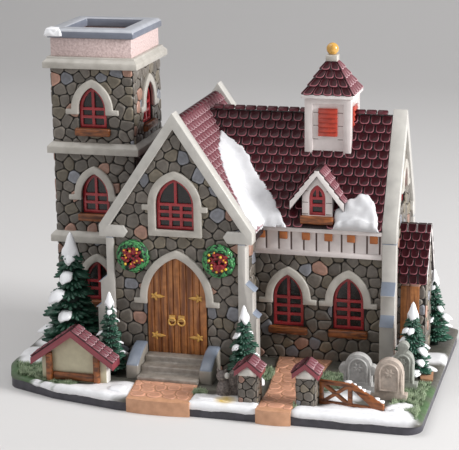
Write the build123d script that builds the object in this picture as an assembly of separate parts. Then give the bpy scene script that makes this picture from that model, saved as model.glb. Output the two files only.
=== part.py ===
from build123d import *
from dataclasses import dataclass
from math import atan2, cos, hypot, pi, sin, sqrt
from random import Random
import os

os.makedirs("parts", exist_ok=True)

# Lighted ceramic chapel on a garden base, in millimetres.
# +Z is up, the entrance faces -Y, the origin is on the table under the middle of the base.

# Base
BASE_MARGIN_LEFT = 11.1
BASE_MARGIN_RIGHT = 11.7
BASE_MARGIN_BACK = 8.2
DOOR_PATH_LENGTH = 25.4
GROUND = 6.5
BASE_CORNER = 9.0
BASE_RIM = 1.6
BASE_LEFT_POINTS = ((0.0, 39.4), (8.0, 19.4), (36.0, 8.4), (76.0, 0.0))
BASE_BACK_CUT = 20.0
PATH_LIP = 2.6
PATH_RISE = 1.2
PATH_SKEW = 3.0
GARDEN_PATH_FLARE = 6.0
GARDEN_PATH_BEND = 27.4
GARDEN_PATH_INSET = 1.0
SIDE_PATH_START = 8.0
SIDE_PATH_TURN = ((8.5, -18.5), (11.0, -30.5), (17.5, -30.5), (15.5, -12.5))

# Shells
WALL = 4.0
COPING_FACE = 5.0
COPING_DEPTH = 8.0
COPING_OVERHANG = 2.5
FIT = 0.1

# Fieldstones, raised on the outer faces of the walls
ROCK_WIDTH = 7.2
ROCK_HEIGHT = 6.2
ROCK_SHAKE = 0.33
ROCK_JOINT = 0.9
ROCK_PROUD = 0.6
ROCK_ROOT = 0.5
ROCK_LEAST = 9.0
ROCK_MARGIN = 0.8
ROCK_NEIGHBOURS = (
    "garden_path", "door_steps", "step_cheeks", "tower_string_courses", "tower_cornice", "entrance_roof",
    "nave_roof", "entrance_copings", "nave_end_coping", "eaves_boards", "entrance_buttresses",
    "nave_buttresses", "entrance_door_hood", "door_wreaths", "gable_surrounds", "hood_moulds",
    "window_sills", "porch_walls", "porch_roof", "roof_snow",
)

# Entrance block, with its ridge along Y
ENTRANCE_X = -22.9
ENTRANCE_HALF = 36.0
ENTRANCE_FRONT = -27.0
ENTRANCE_REAR = 67.3
ENTRANCE_WALL_HEAD = 89.28
ENTRANCE_PITCH = 1.47
ENTRANCE_TILES = 4.8
ENTRANCE_COURSES = 18
ENTRANCE_EAVE = 7.0
KNEELER_DEPTH = 6.6
KNEELER_REACH = 16.2
KNEELER_POINT = 2.2
PASSAGE_TOP = 78.0
PASSAGE_MARGIN = 9.0

# Nave, with its ridge along X
NAVE_RIGHT = 90.3
NAVE_RIDGE_Y = 32.5
NAVE_HALF = 28.5
NAVE_WALL_HEAD = 84.855
NAVE_PITCH = 1.77
NAVE_TILES = 8.9
NAVE_COURSES = 13
NAVE_EAVE = 4.5
NAVE_ROOF_EAVE = 5.0
NAVE_KNEELER = 9.0
SOFFIT_DROP = 0.455
TILE_STEP = 1.3
TILE_RIDGE = 1.4

# Tower, standing against the left wall of the entrance block
TOWER_WIDTH = 48.0
TOWER_DEPTH = 50.0
TOWER_FRONT = 14.7
COURSE_HEIGHT = 6.5
COURSE_PROUD = 3.4
CORNICE_HEIGHT = 6.4
CORNICE_PROUD = 4.0
PARAPET_HEIGHT = 10.6
PARAPET_WALL = 5.0
TOWER_COPING_HEIGHT = 5.2
TOWER_COPING_PROUD = 1.6
TOWER_COPING_LIP = 1.4

# Eaves boards under the nave roof
EAVES_BOTTOM = 68.3
EAVES_BOARD = 2.5
EAVES_CAP = 4.4
EAVES_CAP_HEIGHT = 2.6
EAVES_FOOT = 3.5
EAVES_FOOT_HEIGHT = 2.8
BOARD_PITCH = 7.0
BOARD_GROOVE = 0.5
CORBEL = 4.4
CORBEL_PROUD = 1.6
CORBEL_COUNT = 6
CORBEL_INSET = 4.6

# Buttresses: each has two sloping set-offs
BUTTRESS_INSET = 1.1
BUTTRESS_SHAFT = 3.2
BUTTRESS_STAGES = ((40.5, 43.2, 9.0), (55.1, 59.6, 7.0))
BUTTRESS_DRIP = 1.5
NAVE_BUTTRESS_STAGES = ((33.0, 38.8, 10.5), (49.6, 56.7, 7.5))

# Windows, as half width, foot, spring line and arch radius
FRAME_THICK = 2.4
FRAME_SET = 0.7
FRAME_RIM = 1.6
GLAZING_BAR = 1.5
HOOD_WIDTH = 4.3
HOOD_PROUD = 2.4
HOOD_STOP = 3.4
HOOD_STOP_DROP = 3.0
SURROUND_FOOT = 3.6
SILL_HEIGHT = 4.4
SILL_PROUD = 3.2
SILL_EXTRA = 2.4
TOWER_WINDOW_RISES = (23.7, 10.9, 8.4)
TOWER_HEAD_ROOM = (6.3, 6.8, 5.9)
TOWER_WINDOW_HALF = 8.0
TOWER_WINDOW_JAMB = 10.8
TOWER_WINDOW_ARCH = 13.9
NAVE_WINDOW_FOOT = 26.4
NAVE_WINDOW_HALF = 8.6
NAVE_WINDOW_JAMB = 16.2
NAVE_WINDOW_ARCH = 15.4
NAVE_FRONT_WINDOWS = (32.0, 65.9)
NAVE_REAR_WINDOWS = (31.0,)
GABLE_WINDOW_FOOT = 86.8
GABLE_WINDOW_HALF = 10.7
GABLE_WINDOW_JAMB = 13.6
GABLE_WINDOW_ARCH = 15.2
END_WINDOW_FOOT = 93.0
END_WINDOW_HALF = 6.0
END_WINDOW_JAMB = 11.0
END_WINDOW_ARCH = 10.6

# Entrance door
DOOR_FOOT = 16.7
DOOR_HALF = 16.6
DOOR_SPRING = 47.5
DOOR_ARCH = 25.1
DOOR_THICK = 2.6
DOOR_RECESS = 1.4
PLANK_COUNT = 9
PLANK_GROOVE = 0.7
DOOR_HOOD_WIDTH = 4.2
HINGE_LENGTH = 6.5
HINGE_HEIGHT = 4.6
HINGE_HEIGHTS = (26.5, 49.0)
HINGE_INSET = 6.0
HINGE_PROUD = 0.9
RING_HEIGHT = 37.0
RING_SPREAD = 2.6
RING_RADIUS = 1.9
RING_WIRE = 0.55
RING_PLATE = 3.4
WREATH_INSET = 11.8
WREATH_HEIGHT = 71.0
WREATH_RADIUS = 6.4
WREATH_TUBE = 2.6

# Steps
STEP_COUNT = 3
STEP_HALF = 17.2
STEP_RUN = 23.0
CHEEK_WIDTH = 7.0
CHEEK_RUN = 19.5
CHEEK_TOP = 22.5
CHEEK_FRONT = 14.5

# Cupola
CUPOLA_X = 50.8
CUPOLA_SIZE = 24.5
CUPOLA_RISE = 8.2
CUPOLA_EAVE = 29.0
CUPOLA_EAVE_BOARD = 1.8
CUPOLA_COURSES = 4
CUPOLA_COURSE_RISE = 4.2
CUPOLA_POST = 4.4
CUPOLA_POST_PROUD = 0.7
CUPOLA_HEAD = 3.2
CUPOLA_NECK = 6.6
CUPOLA_STEP = 0.9
COLLAR_SIZE = 6.6
COLLAR_HEIGHT = 3.6
BALL_RADIUS = 3.4
LOUVRE_WIDTH = 10.6
LOUVRE_DROP = 5.5
LOUVRE_HEIGHT = 15.4
LOUVRE_SLATS = 6
LOUVRE_PROUD = 1.4
LOUVRE_BACK = 0.5

# Dormer
DORMER_X = 48.9
DORMER_FRONT = 0.8
DORMER_HALF = 8.4
DORMER_SPAN = 15.0
DORMER_HEAD = 5.1
DORMER_PITCH = 1.28
DORMER_TILES = 4.9
DORMER_COURSES = 5
DORMER_STEP = 0.9
DORMER_LAP = 1.4
DORMER_SILL_DROP = 4.6
DORMER_SILL_LAP = 0.8
DORMER_SILL_PROUD = 2.4
DORMER_WINDOW_RISE = 7.0
DORMER_WINDOW_HALF = 4.5
DORMER_WINDOW_JAMB = 9.5
DORMER_WINDOW_ARCH = 8.4

# Side porch on the nave's right end
PORCH_REACH = 16.0
PORCH_Y = 26.0
PORCH_HALF = 9.5
PORCH_APEX = 86.0
PORCH_PITCH = 2.0
PORCH_TILES = 5.5
PORCH_SPAN = 14.0
PORCH_COURSES = 6
PORCH_LAP = 1.6
PORCH_DOOR_X = 98.0
PORCH_DOOR_HALF = 5.2
PORCH_DOOR_TOP = 50.0
PORCH_DOOR_PROUD = 1.2

# Snow
SNOW_DEPTH = 4.0
VALLEY_SNOW = (
    (-24.1, 20.0), (-21.1, 2.0), (-14.1, -11.0), (-2.1, -22.0), (5.4, -22.0), (10.9, -7.0),
    (18.9, -3.5), (2.9, 7.0), (-9.1, 16.0),
)
DORMER_SNOW = ((1.0, -3.0), (1.5, 4.0), (6.0, 2.0), (12.0, 5.0), (17.9, -3.0))
DRIFT_BACKS = (10.2, 14.2, 6.2, 1.7, 4.2, 5.2)
DRIFT_GAP = 1.0
DRIFT_HEIGHT = 2.8

# Garden
SIGN_X = -72.5
SIGN_Y = -54.75
SIGN_WIDTH = 37.0
SIGN_THICK = 6.5
SIGN_WALL = 13.5
SIGN_RISE = 13.5
SIGN_ROOF = 4.0
SIGN_ROOF_LAP = 5.0
SIGN_ROOF_FRONT = 4.2
SIGN_ROOF_BACK = 1.0
SIGN_POST = 3.6
SIGN_POST_SPREAD = 27.0
SIGN_POST_HEIGHT = 17.0
SIGN_RAIL = 4.4
SIGN_RAIL_HEIGHT = 1.6
PILLARS = ((27.0, -64.3), (57.0, -61.7))
PILLAR_WIDTH = 9.6
PILLAR_HEIGHT = 17.5
PILLAR_PEAK = 4.0
PILLAR_CAP_LAP = 2.2
PILLAR_CAP_THICK = 3.2
FENCE_START = (63.0, -57.5)
FENCE_END = (97.6, -61.5)
FENCE_HEIGHT = 13.5
FENCE_RAIL = 2.2
FENCE_THICK = 2.4
FENCE_FLAT = 15.5
FENCE_LOW = 4.0
STONES_AT = ((79.0, -36.1), (97.0, -44.5), (101.5, -27.5))
STONE_THICK = 5.0
STONE_WIDTHS = (15.0, 15.0, 11.5)
STONE_SHOULDERS = (14.0, 15.5, 16.0)
STONE_PLINTH = 2.0
STONE_PLINTH_HEIGHT = 4.0
STONE_WING = 2.6
STONE_KNOB = 2.9
ANIMAL_AT = (12.2, -58.5)
ANIMAL_BODY = 4.4
ANIMAL_HEIGHT = 11.5
ANIMAL_HEAD = 2.9
ANIMAL_TAIL = 2.4
ANIMAL_TAIL_HEIGHT = 12.0

# Trees, as place, height and spread
TREES_LEFT = ((-87.5, -17.0, 72.0, 18.5), (-57.2, -40.8, 47.0, 9.4))
TREE_DOOR = (18.5, -42.0, 45.0, 10.5)
TREES_RIGHT = ((103.6, -9.0, 42.5, 11.0), (107.2, 46.0, 45.0, 10.2))
TREE_TRUNK = 2.6
TREE_TRUNK_HEIGHT = 3.0
TREE_TIERS = 5
TREE_TUCK = 0.55

# Lamp, pushed in through a round hole in the nave's rear wall
LAMP_X = 64.0
LAMP_Z = 27.0
BULB_RADIUS = 11.0
BULB_LENGTH = 32.0
BULB_NECK = 5.6
BULB_CAP_RADIUS = 5.8
BULB_CAP_LENGTH = 18.0
LAMP_HOLE_CLEARANCE = 2.5
SOCKET_RADIUS = 9.6
SOCKET_LENGTH = 22.0
SOCKET_OUT = 11.0
SOCKET_BORE_CLEARANCE = 0.3
CORD_HOLE = 2.2
CLIP_WIDTH = 8.0
CLIP_STRIP = 0.8
CLIP_CLEARANCE = 0.35

# Places that follow from the sizes above
TOWER_RIGHT = ENTRANCE_X - ENTRANCE_HALF
TOWER_STOREY = TOWER_WINDOW_JAMB + sqrt(
    (TOWER_WINDOW_ARCH + HOOD_WIDTH) ** 2 - (TOWER_WINDOW_ARCH - TOWER_WINDOW_HALF) ** 2
)
LOWER_FOOT = GROUND + TOWER_WINDOW_RISES[0]
LOWER_COURSE = LOWER_FOOT + TOWER_STOREY + TOWER_HEAD_ROOM[0]
MIDDLE_FOOT = LOWER_COURSE + COURSE_HEIGHT + TOWER_WINDOW_RISES[1]
MIDDLE_COURSE = MIDDLE_FOOT + TOWER_STOREY + TOWER_HEAD_ROOM[1]
UPPER_FOOT = MIDDLE_COURSE + COURSE_HEIGHT + TOWER_WINDOW_RISES[2]
TOWER_TOP = UPPER_FOOT + TOWER_STOREY + TOWER_HEAD_ROOM[2]
TOWER_WINDOW_FEET = (LOWER_FOOT, MIDDLE_FOOT, UPPER_FOOT)
TOWER_LEFT = TOWER_RIGHT - TOWER_WIDTH
TOWER_X = TOWER_RIGHT - TOWER_WIDTH / 2
TOWER_Y = TOWER_FRONT + TOWER_DEPTH / 2
TOWER_REAR = TOWER_FRONT + TOWER_DEPTH
NAVE_LEFT = ENTRANCE_X + ENTRANCE_HALF
NAVE_FRONT = NAVE_RIDGE_Y - NAVE_HALF
NAVE_REAR = NAVE_RIDGE_Y + NAVE_HALF
ENTRANCE_APEX = ENTRANCE_WALL_HEAD + ENTRANCE_PITCH * ENTRANCE_HALF
NAVE_APEX = NAVE_WALL_HEAD + NAVE_PITCH * NAVE_HALF
SOFFIT = NAVE_WALL_HEAD - SOFFIT_DROP
ENTRANCE_RIDGE = ENTRANCE_APEX + ENTRANCE_TILES
NAVE_RIDGE = NAVE_APEX + NAVE_TILES
CUPOLA_TOP = NAVE_RIDGE + CUPOLA_RISE
LOUVRE_FOOT = CUPOLA_TOP - LOUVRE_DROP - LOUVRE_HEIGHT
ENTRANCE_LIFT = COPING_FACE * sqrt(1 + ENTRANCE_PITCH**2)
NAVE_LIFT = COPING_FACE * sqrt(1 + NAVE_PITCH**2)
FRONT_COPING = (ENTRANCE_FRONT - COPING_OVERHANG, ENTRANCE_FRONT - COPING_OVERHANG + COPING_DEPTH)
REAR_COPING = (ENTRANCE_REAR + COPING_OVERHANG - COPING_DEPTH, ENTRANCE_REAR + COPING_OVERHANG)
END_COPING = (NAVE_RIGHT + COPING_OVERHANG - COPING_DEPTH, NAVE_RIGHT + COPING_OVERHANG)
NAVE_EAVE_FRONT = NAVE_FRONT - NAVE_ROOF_EAVE
KNEELER_TOP = ENTRANCE_APEX + ENTRANCE_LIFT - ENTRANCE_PITCH * (ENTRANCE_HALF + ENTRANCE_EAVE)
KNEELER_FOOT = KNEELER_TOP - KNEELER_DEPTH
NAVE_KNEELER_TOP = NAVE_APEX + NAVE_LIFT - NAVE_PITCH * (NAVE_HALF + NAVE_EAVE)
NAVE_KNEELER_FOOT = NAVE_KNEELER_TOP - NAVE_KNEELER
BASE_LEFT = TOWER_LEFT - BASE_MARGIN_LEFT
BASE_RIGHT = NAVE_RIGHT + PORCH_REACH + BASE_MARGIN_RIGHT
BASE_FRONT = ENTRANCE_FRONT - STEP_RUN - DOOR_PATH_LENGTH
BASE_BACK = REAR_COPING[1] + BASE_MARGIN_BACK
LAMP_HOLE = BULB_RADIUS + LAMP_HOLE_CLEARANCE
DORMER_WINDOW_FOOT = SOFFIT + DORMER_WINDOW_RISE
DORMER_WINDOW_TOP = DORMER_WINDOW_FOOT + DORMER_WINDOW_JAMB + sqrt(
    DORMER_WINDOW_ARCH**2 - (DORMER_WINDOW_ARCH - DORMER_WINDOW_HALF) ** 2
)
DORMER_APEX = DORMER_WINDOW_TOP + DORMER_HEAD + DORMER_TILES
TALL = 400.0


def outline(points):
    """Closed flat face through the points."""
    return make_face(Polyline(*points, close=True))


def prism_x(sketch, x0, x1):
    """A (Y, Z) drawing run along X."""
    return extrude(Plane.YZ.offset(x0) * sketch, x1 - x0)


def prism_y(sketch, y0, y1):
    """An (X, Z) drawing run along Y."""
    return extrude(Plane.XZ.offset(-y1) * sketch, y1 - y0)


def prism_z(sketch, z0, z1):
    """An (X, Y) drawing run along Z."""
    return extrude(Plane.XY.offset(z0) * sketch, z1 - z0)


def block(x0, x1, y0, y1, z0, z1):
    """Box between two corners."""
    return Pos((x0 + x1) / 2, (y0 + y1) / 2, (z0 + z1) / 2) * Box(x1 - x0, y1 - y0, z1 - z0)


def mirrored(points):
    """A right-hand line of points and its mirror image, as one closed list."""
    return points + [(-u, v) for u, v in reversed(points)]


def shifted(points, du, dv=0.0):
    """Points moved in their own plane."""
    return [(u + du, v + dv) for u, v in points]


def wall_plane(facing, along, face):
    """Drawing plane on a wall: local x runs along it, local y is up, the normal points out."""
    if facing == "front":
        return Plane(origin=(along, face, 0), x_dir=(1, 0, 0), z_dir=(0, -1, 0))
    if facing == "rear":
        return Plane(origin=(along, face, 0), x_dir=(-1, 0, 0), z_dir=(0, 1, 0))
    if facing == "right":
        return Plane(origin=(face, along, 0), x_dir=(0, 1, 0), z_dir=(1, 0, 0))
    return Plane(origin=(face, along, 0), x_dir=(0, -1, 0), z_dir=(-1, 0, 0))


def on_wall(plane, sketch, low, high):
    """A drawing on a wall, thickened from one distance outside the face to another."""
    return extrude(plane.offset(low) * sketch, high - low)


def arch(half, foot, spring, radius):
    """Pointed arch: upright jambs under two arcs that meet at the top."""
    centre = half - radius
    rise = sqrt(radius**2 - centre**2)
    turn = atan2(rise, -centre) / 2
    side = (centre + radius * cos(turn), spring + radius * sin(turn))
    top = (0, spring + rise)
    return make_face(
        [
            Line((-half, foot), (half, foot)),
            Line((half, foot), (half, spring)),
            ThreePointArc((half, spring), side, top),
            ThreePointArc(top, (-side[0], side[1]), (-half, spring)),
            Line((-half, spring), (-half, foot)),
        ]
    )


@dataclass
class Window:
    """A pointed window on a wall: where it is, its arch and its panes."""

    plane: Plane
    half: float
    foot: float
    jamb: float
    radius: float
    columns: int
    rows: int

    @property
    def spring(self):
        return self.foot + self.jamb

    def opening(self):
        """Hole through the wall."""
        shape = arch(self.half, self.foot, self.spring, self.radius)
        return on_wall(self.plane, shape, -WALL - 1, 1)

    def frame(self):
        """Pierced frame: a rim, mullions and glazing bars, with two lights in the arch."""
        half = self.half - FIT
        body = arch(half, self.foot, self.spring, self.radius - FIT)
        inner = half - FRAME_RIM
        lights = arch(inner, self.foot + FRAME_RIM, self.spring, self.radius - FIT - FRAME_RIM)
        bar_up = Rectangle(GLAZING_BAR, TALL)
        bar_across = Rectangle(TALL, GLAZING_BAR)
        pitch = 2 * inner / self.columns
        low = self.foot + FRAME_RIM
        row = (self.spring - low) / self.rows
        grid = Pos(0, (low + self.spring) / 2) * Rectangle(2 * inner, self.spring - low)
        for i in range(1, self.columns):
            grid -= Pos(i * pitch - inner, 0) * bar_up
        head = lights - Pos(0, self.spring - TALL / 2) * Rectangle(TALL, TALL) - bar_up
        panes = grid + head
        for i in range(1, self.rows + 1):
            panes -= Pos(0, low + i * row) * bar_across
        return on_wall(self.plane, body - panes, -FRAME_SET - FRAME_THICK, -FRAME_SET)

    def hood(self):
        """Hood mould over the arch, ending in two label stops."""
        return hood_mould(self.plane, self.half, self.spring, self.radius, HOOD_WIDTH, HOOD_STOP)

    def surround(self):
        """Hood mould carried down the jambs to a ledge under the window."""
        foot = self.foot - SURROUND_FOOT
        outer = arch(self.half + HOOD_WIDTH, foot, self.spring, self.radius + HOOD_WIDTH)
        outer += stops(self.half + HOOD_WIDTH, self.spring, HOOD_STOP)
        inner = arch(self.half, self.foot, self.spring, self.radius)
        return on_wall(self.plane, outer - inner, 0, HOOD_PROUD)

    def sill(self):
        """Squared log under the window."""
        width = 2 * (self.half + SILL_EXTRA)
        beam = Pos(0, self.foot - SILL_HEIGHT / 2) * RectangleRounded(width, SILL_HEIGHT, SILL_HEIGHT / 4)
        return on_wall(self.plane, beam, 0, SILL_PROUD)


def stops(half, spring, reach):
    """The two short feet that turn outwards at the ends of a hood mould."""
    foot = Pos(half + reach / 2 - 0.5, spring - HOOD_STOP_DROP / 2) * Rectangle(reach + 1, HOOD_STOP_DROP)
    return foot + mirror(foot, about=Plane.YZ)


def hood_mould(plane, half, spring, radius, width, reach):
    """Arched band over an opening, standing on two label stops."""
    outer = arch(half + width, spring - HOOD_STOP_DROP, spring, radius + width)
    outer += stops(half + width, spring, reach)
    inner = arch(half, spring - 2 * HOOD_STOP_DROP, spring, radius)
    return on_wall(plane, outer - inner, 0, HOOD_PROUD)


def tile_line(span, ridge, pitch, courses, step, cap):
    """Right half of a stepped tile slope, from the eave up to the ridge cap."""
    run = (span - cap) / courses
    points = []
    for i in range(courses):
        low = span - i * run
        high = low - run
        points.append((low, ridge - pitch * low))
        points.append((high, ridge - pitch * high - step))
    points.append((cap, ridge - pitch * cap))
    return points


def under_slope(middle, ridge, pitch, reach):
    """Drawing of all that lies under a ridged roof's outer slopes."""
    low = ridge - pitch * reach
    return outline([(middle - reach, low), (middle, ridge), (middle + reach, low)])


def ring(x, y, width, depth, inner_width, inner_depth, z0, z1):
    """Square-cornered band round a middle."""
    return Pos(x, y, (z0 + z1) / 2) * (
        Box(width, depth, z1 - z0) - Box(inner_width, inner_depth, z1 - z0 + 2)
    )


def entrance_under(rise=0.0):
    """Everything under the entrance roof's tile tips."""
    slope = under_slope(ENTRANCE_X, ENTRANCE_RIDGE + rise, ENTRANCE_PITCH, 2 * ENTRANCE_HALF)
    return prism_y(slope, -TALL, TALL)


def nave_under(rise=0.0):
    """Everything under the nave roof's tile tips."""
    return prism_x(under_slope(NAVE_RIDGE_Y, NAVE_RIDGE + rise, NAVE_PITCH, 2 * NAVE_HALF), -TALL, TALL)


def entrance_outer():
    """Outside of the entrance block, up to the underside of its roof."""
    line = [(ENTRANCE_HALF, GROUND), (ENTRANCE_HALF, ENTRANCE_APEX - ENTRANCE_PITCH * ENTRANCE_HALF)]
    points = line + [(0, ENTRANCE_APEX)] + [(-u, v) for u, v in reversed(line)]
    return prism_y(outline(shifted(points, ENTRANCE_X)), ENTRANCE_FRONT, ENTRANCE_REAR)


def nave_outer():
    """Outside of the nave, up to the underside of its roof."""
    line = [(NAVE_HALF, GROUND), (NAVE_HALF, NAVE_APEX - NAVE_PITCH * NAVE_HALF)]
    points = line + [(0, NAVE_APEX)] + [(-u, v) for u, v in reversed(line)]
    return prism_x(outline(shifted(points, NAVE_RIDGE_Y)), NAVE_LEFT, NAVE_RIGHT)


def tower_windows():
    """Three windows up the front, and the ones that the other sides have."""
    places = [("front", TOWER_X, TOWER_FRONT, foot) for foot in TOWER_WINDOW_FEET]
    places += [("left", TOWER_Y, TOWER_LEFT, foot) for foot in TOWER_WINDOW_FEET[1:]]
    places.append(("right", TOWER_Y, TOWER_RIGHT, TOWER_WINDOW_FEET[2]))
    places.append(("rear", TOWER_X, TOWER_REAR, TOWER_WINDOW_FEET[2]))
    return [
        Window(
            wall_plane(facing, along, face),
            TOWER_WINDOW_HALF, foot, TOWER_WINDOW_JAMB, TOWER_WINDOW_ARCH, 2, 2,
        )
        for facing, along, face, foot in places
    ]


def nave_windows():
    """Windows in the long walls of the nave; the rear one leaves room for the lamp hole."""
    places = [("front", x, NAVE_FRONT) for x in NAVE_FRONT_WINDOWS]
    places += [("rear", x, NAVE_REAR) for x in NAVE_REAR_WINDOWS]
    return [
        Window(
            wall_plane(facing, x, face),
            NAVE_WINDOW_HALF, NAVE_WINDOW_FOOT, NAVE_WINDOW_JAMB, NAVE_WINDOW_ARCH, 2, 3,
        )
        for facing, x, face in places
    ]


def gable_windows():
    """Large windows high in the entrance block's two gables."""
    places = [("front", ENTRANCE_FRONT), ("rear", ENTRANCE_REAR)]
    return [
        Window(
            wall_plane(facing, ENTRANCE_X, face),
            GABLE_WINDOW_HALF, GABLE_WINDOW_FOOT, GABLE_WINDOW_JAMB, GABLE_WINDOW_ARCH, 3, 3,
        )
        for facing, face in places
    ]


def end_window():
    """Small window in the nave's end gable, over the porch."""
    plane = wall_plane("right", NAVE_RIDGE_Y, NAVE_RIGHT)
    return Window(plane, END_WINDOW_HALF, END_WINDOW_FOOT, END_WINDOW_JAMB, END_WINDOW_ARCH, 2, 2)


def dormer_window():
    """Narrow window in the dormer's gable."""
    plane = wall_plane("front", DORMER_X, DORMER_FRONT)
    return Window(
        plane, DORMER_WINDOW_HALF, DORMER_WINDOW_FOOT, DORMER_WINDOW_JAMB, DORMER_WINDOW_ARCH, 1, 2
    )


def base_plate():
    """Garden base with an uneven left end and a rounded rim."""
    points = [(BASE_LEFT + u, BASE_FRONT + v) for u, v in BASE_LEFT_POINTS]
    points += [(BASE_RIGHT, BASE_FRONT), (BASE_RIGHT, BASE_BACK)]
    points += [(BASE_LEFT + BASE_BACK_CUT, BASE_BACK), (BASE_LEFT, BASE_BACK - BASE_BACK_CUT)]
    plan = outline(points)
    plan = fillet(plan.vertices(), BASE_CORNER)
    plate = prism_z(plan, 0, GROUND)
    return fillet(plate.faces().sort_by(Axis.Z)[-1].edges(), BASE_RIM)


def path_with_lip(plan, x0, x1):
    """Paving on the ground that turns down over the front edge of the base."""
    slab = prism_z(plan, GROUND, GROUND + PATH_RISE)
    bow = make_face(
        [
            Line((x1, BASE_FRONT), (x0, BASE_FRONT)),
            Line((x0, BASE_FRONT), (x0, BASE_FRONT - PATH_LIP / 2)),
            ThreePointArc(
                (x0, BASE_FRONT - PATH_LIP / 2),
                ((x0 + x1) / 2, BASE_FRONT - PATH_LIP),
                (x1, BASE_FRONT - PATH_LIP / 2),
            ),
            Line((x1, BASE_FRONT - PATH_LIP / 2), (x1, BASE_FRONT)),
        ]
    )
    return slab + prism_z(bow, 0, GROUND + PATH_RISE)


def paths():
    """Door path, garden path between the pillars and a short path to the porch."""
    half = STEP_HALF
    top = ENTRANCE_FRONT - STEP_RUN
    door = outline(
        [
            (ENTRANCE_X - half + PATH_SKEW, BASE_FRONT),
            (ENTRANCE_X + half + PATH_SKEW, BASE_FRONT),
            (ENTRANCE_X + half, top),
            (ENTRANCE_X - half, top),
        ]
    )
    inner = PILLAR_WIDTH / 2 + GARDEN_PATH_INSET
    x0 = PILLARS[0][0] + inner
    x1 = PILLARS[1][0] - inner
    bend = BASE_FRONT + GARDEN_PATH_BEND
    garden = outline(
        [
            (x0, BASE_FRONT), (x1, BASE_FRONT), (x1, bend),
            (x1 + GARDEN_PATH_FLARE, NAVE_FRONT), (x0 - GARDEN_PATH_FLARE, NAVE_FRONT), (x0, bend),
        ]
    )
    porch_front = PORCH_Y - PORCH_HALF
    door_left = PORCH_DOOR_X - PORCH_DOOR_HALF
    side = outline(
        [(door_left, porch_front), (door_left, porch_front - SIDE_PATH_START)]
        + [(PORCH_DOOR_X + u, porch_front + v) for u, v in SIDE_PATH_TURN]
        + [(PORCH_DOOR_X + PORCH_DOOR_HALF, porch_front)]
    )
    return {
        "door_path": path_with_lip(door, ENTRANCE_X - half + PATH_SKEW, ENTRANCE_X + half + PATH_SKEW),
        "garden_path": path_with_lip(garden, x0, x1),
        "side_path": prism_z(side, GROUND, GROUND + PATH_RISE),
    }


def steps():
    """Steps up to the door between two sloping cheek walls."""
    rise = (DOOR_FOOT - GROUND) / STEP_COUNT
    tread = STEP_RUN / STEP_COUNT
    points = [(ENTRANCE_FRONT, GROUND), (ENTRANCE_FRONT - STEP_RUN, GROUND)]
    for i in range(STEP_COUNT):
        front = ENTRANCE_FRONT - STEP_RUN + i * tread
        points.append((front, GROUND + (i + 1) * rise))
        points.append((front + tread, GROUND + (i + 1) * rise))
    flight = prism_x(outline(points), ENTRANCE_X - STEP_HALF, ENTRANCE_X + STEP_HALF)
    toe = ENTRANCE_FRONT - CHEEK_RUN
    side = make_face(
        [
            Line((ENTRANCE_FRONT, GROUND), (toe, GROUND)),
            Line((toe, GROUND), (toe, CHEEK_FRONT)),
            ThreePointArc(
                (toe, CHEEK_FRONT),
                (toe + CHEEK_RUN * 0.42, CHEEK_FRONT + (CHEEK_TOP - CHEEK_FRONT) * 0.66),
                (ENTRANCE_FRONT, CHEEK_TOP),
            ),
            Line((ENTRANCE_FRONT, CHEEK_TOP), (ENTRANCE_FRONT, GROUND)),
        ]
    )
    right = prism_x(side, ENTRANCE_X + STEP_HALF, ENTRANCE_X + STEP_HALF + CHEEK_WIDTH)
    left = prism_x(side, ENTRANCE_X - STEP_HALF - CHEEK_WIDTH, ENTRANCE_X - STEP_HALF)
    return {"door_steps": flight, "step_cheeks": [left, right]}


def cut_back(points, nu, nv, limit):
    """The part of a convex outline on the low side of a line."""
    kept = []
    for i, (u, v) in enumerate(points):
        before_u, before_v = points[i - 1]
        before = before_u * nu + before_v * nv - limit
        now = u * nu + v * nv - limit
        if (before < 0) != (now < 0):
            share = before / (before - now)
            kept.append((before_u + (u - before_u) * share, before_v + (v - before_v) * share))
        if now < 0:
            kept.append((u, v))
    return kept


def area(points):
    """Area inside an outline."""
    return abs(sum(points[i - 1][0] * v - u * points[i - 1][1] for i, (u, v) in enumerate(points))) / 2


def rocks(region, seed):
    """Fieldstone outlines: nearest-point cells of a shaken grid in a convex region, half a joint in."""
    chance = Random(seed)
    low_u = min(u for u, v in region)
    low_v = min(v for u, v in region)
    columns = int((max(u for u, v in region) - low_u) / ROCK_WIDTH) + 3
    rows = int((max(v for u, v in region) - low_v) / ROCK_HEIGHT) + 3
    seeds = {}
    for row in range(rows):
        for column in range(columns):
            du = column - 0.5 + 0.5 * (row % 2) + chance.uniform(-ROCK_SHAKE, ROCK_SHAKE)
            dv = row - 0.5 + chance.uniform(-ROCK_SHAKE, ROCK_SHAKE)
            seeds[column, row] = (low_u + du * ROCK_WIDTH, low_v + dv * ROCK_HEIGHT)
    found = []
    for (column, row), (u, v) in seeds.items():
        shape = region
        near = [(column + i, row + j) for i in range(-2, 3) for j in range(-2, 3) if i or j]
        for other_u, other_v in [seeds[key] for key in near if key in seeds]:
            gap = hypot(other_u - u, other_v - v)
            nu = (other_u - u) / gap
            nv = (other_v - v) / gap
            shape = cut_back(shape, nu, nv, u * nu + v * nv + (gap - ROCK_JOINT) / 2)
        if area(shape) > ROCK_LEAST:
            found.append(shape)
    return found


def listed(shape):
    """A node's solids, whether it is one shape or a list."""
    items = shape if isinstance(shape, list) else [shape]
    return [solid for item in items for solid in item.solids()]


def with_boxes(solids):
    """Solids, each with the box round it."""
    return [(solid, solid.bounding_box()) for solid in solids]


def shared(box, other):
    """Volume of the overlap of two boxes."""
    volume = 1.0
    for low, high, other_low, other_high in zip(box.min, box.max, other.min, other.max):
        volume *= max(0.0, min(high, other_high) - max(low, other_low))
    return volume


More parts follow.
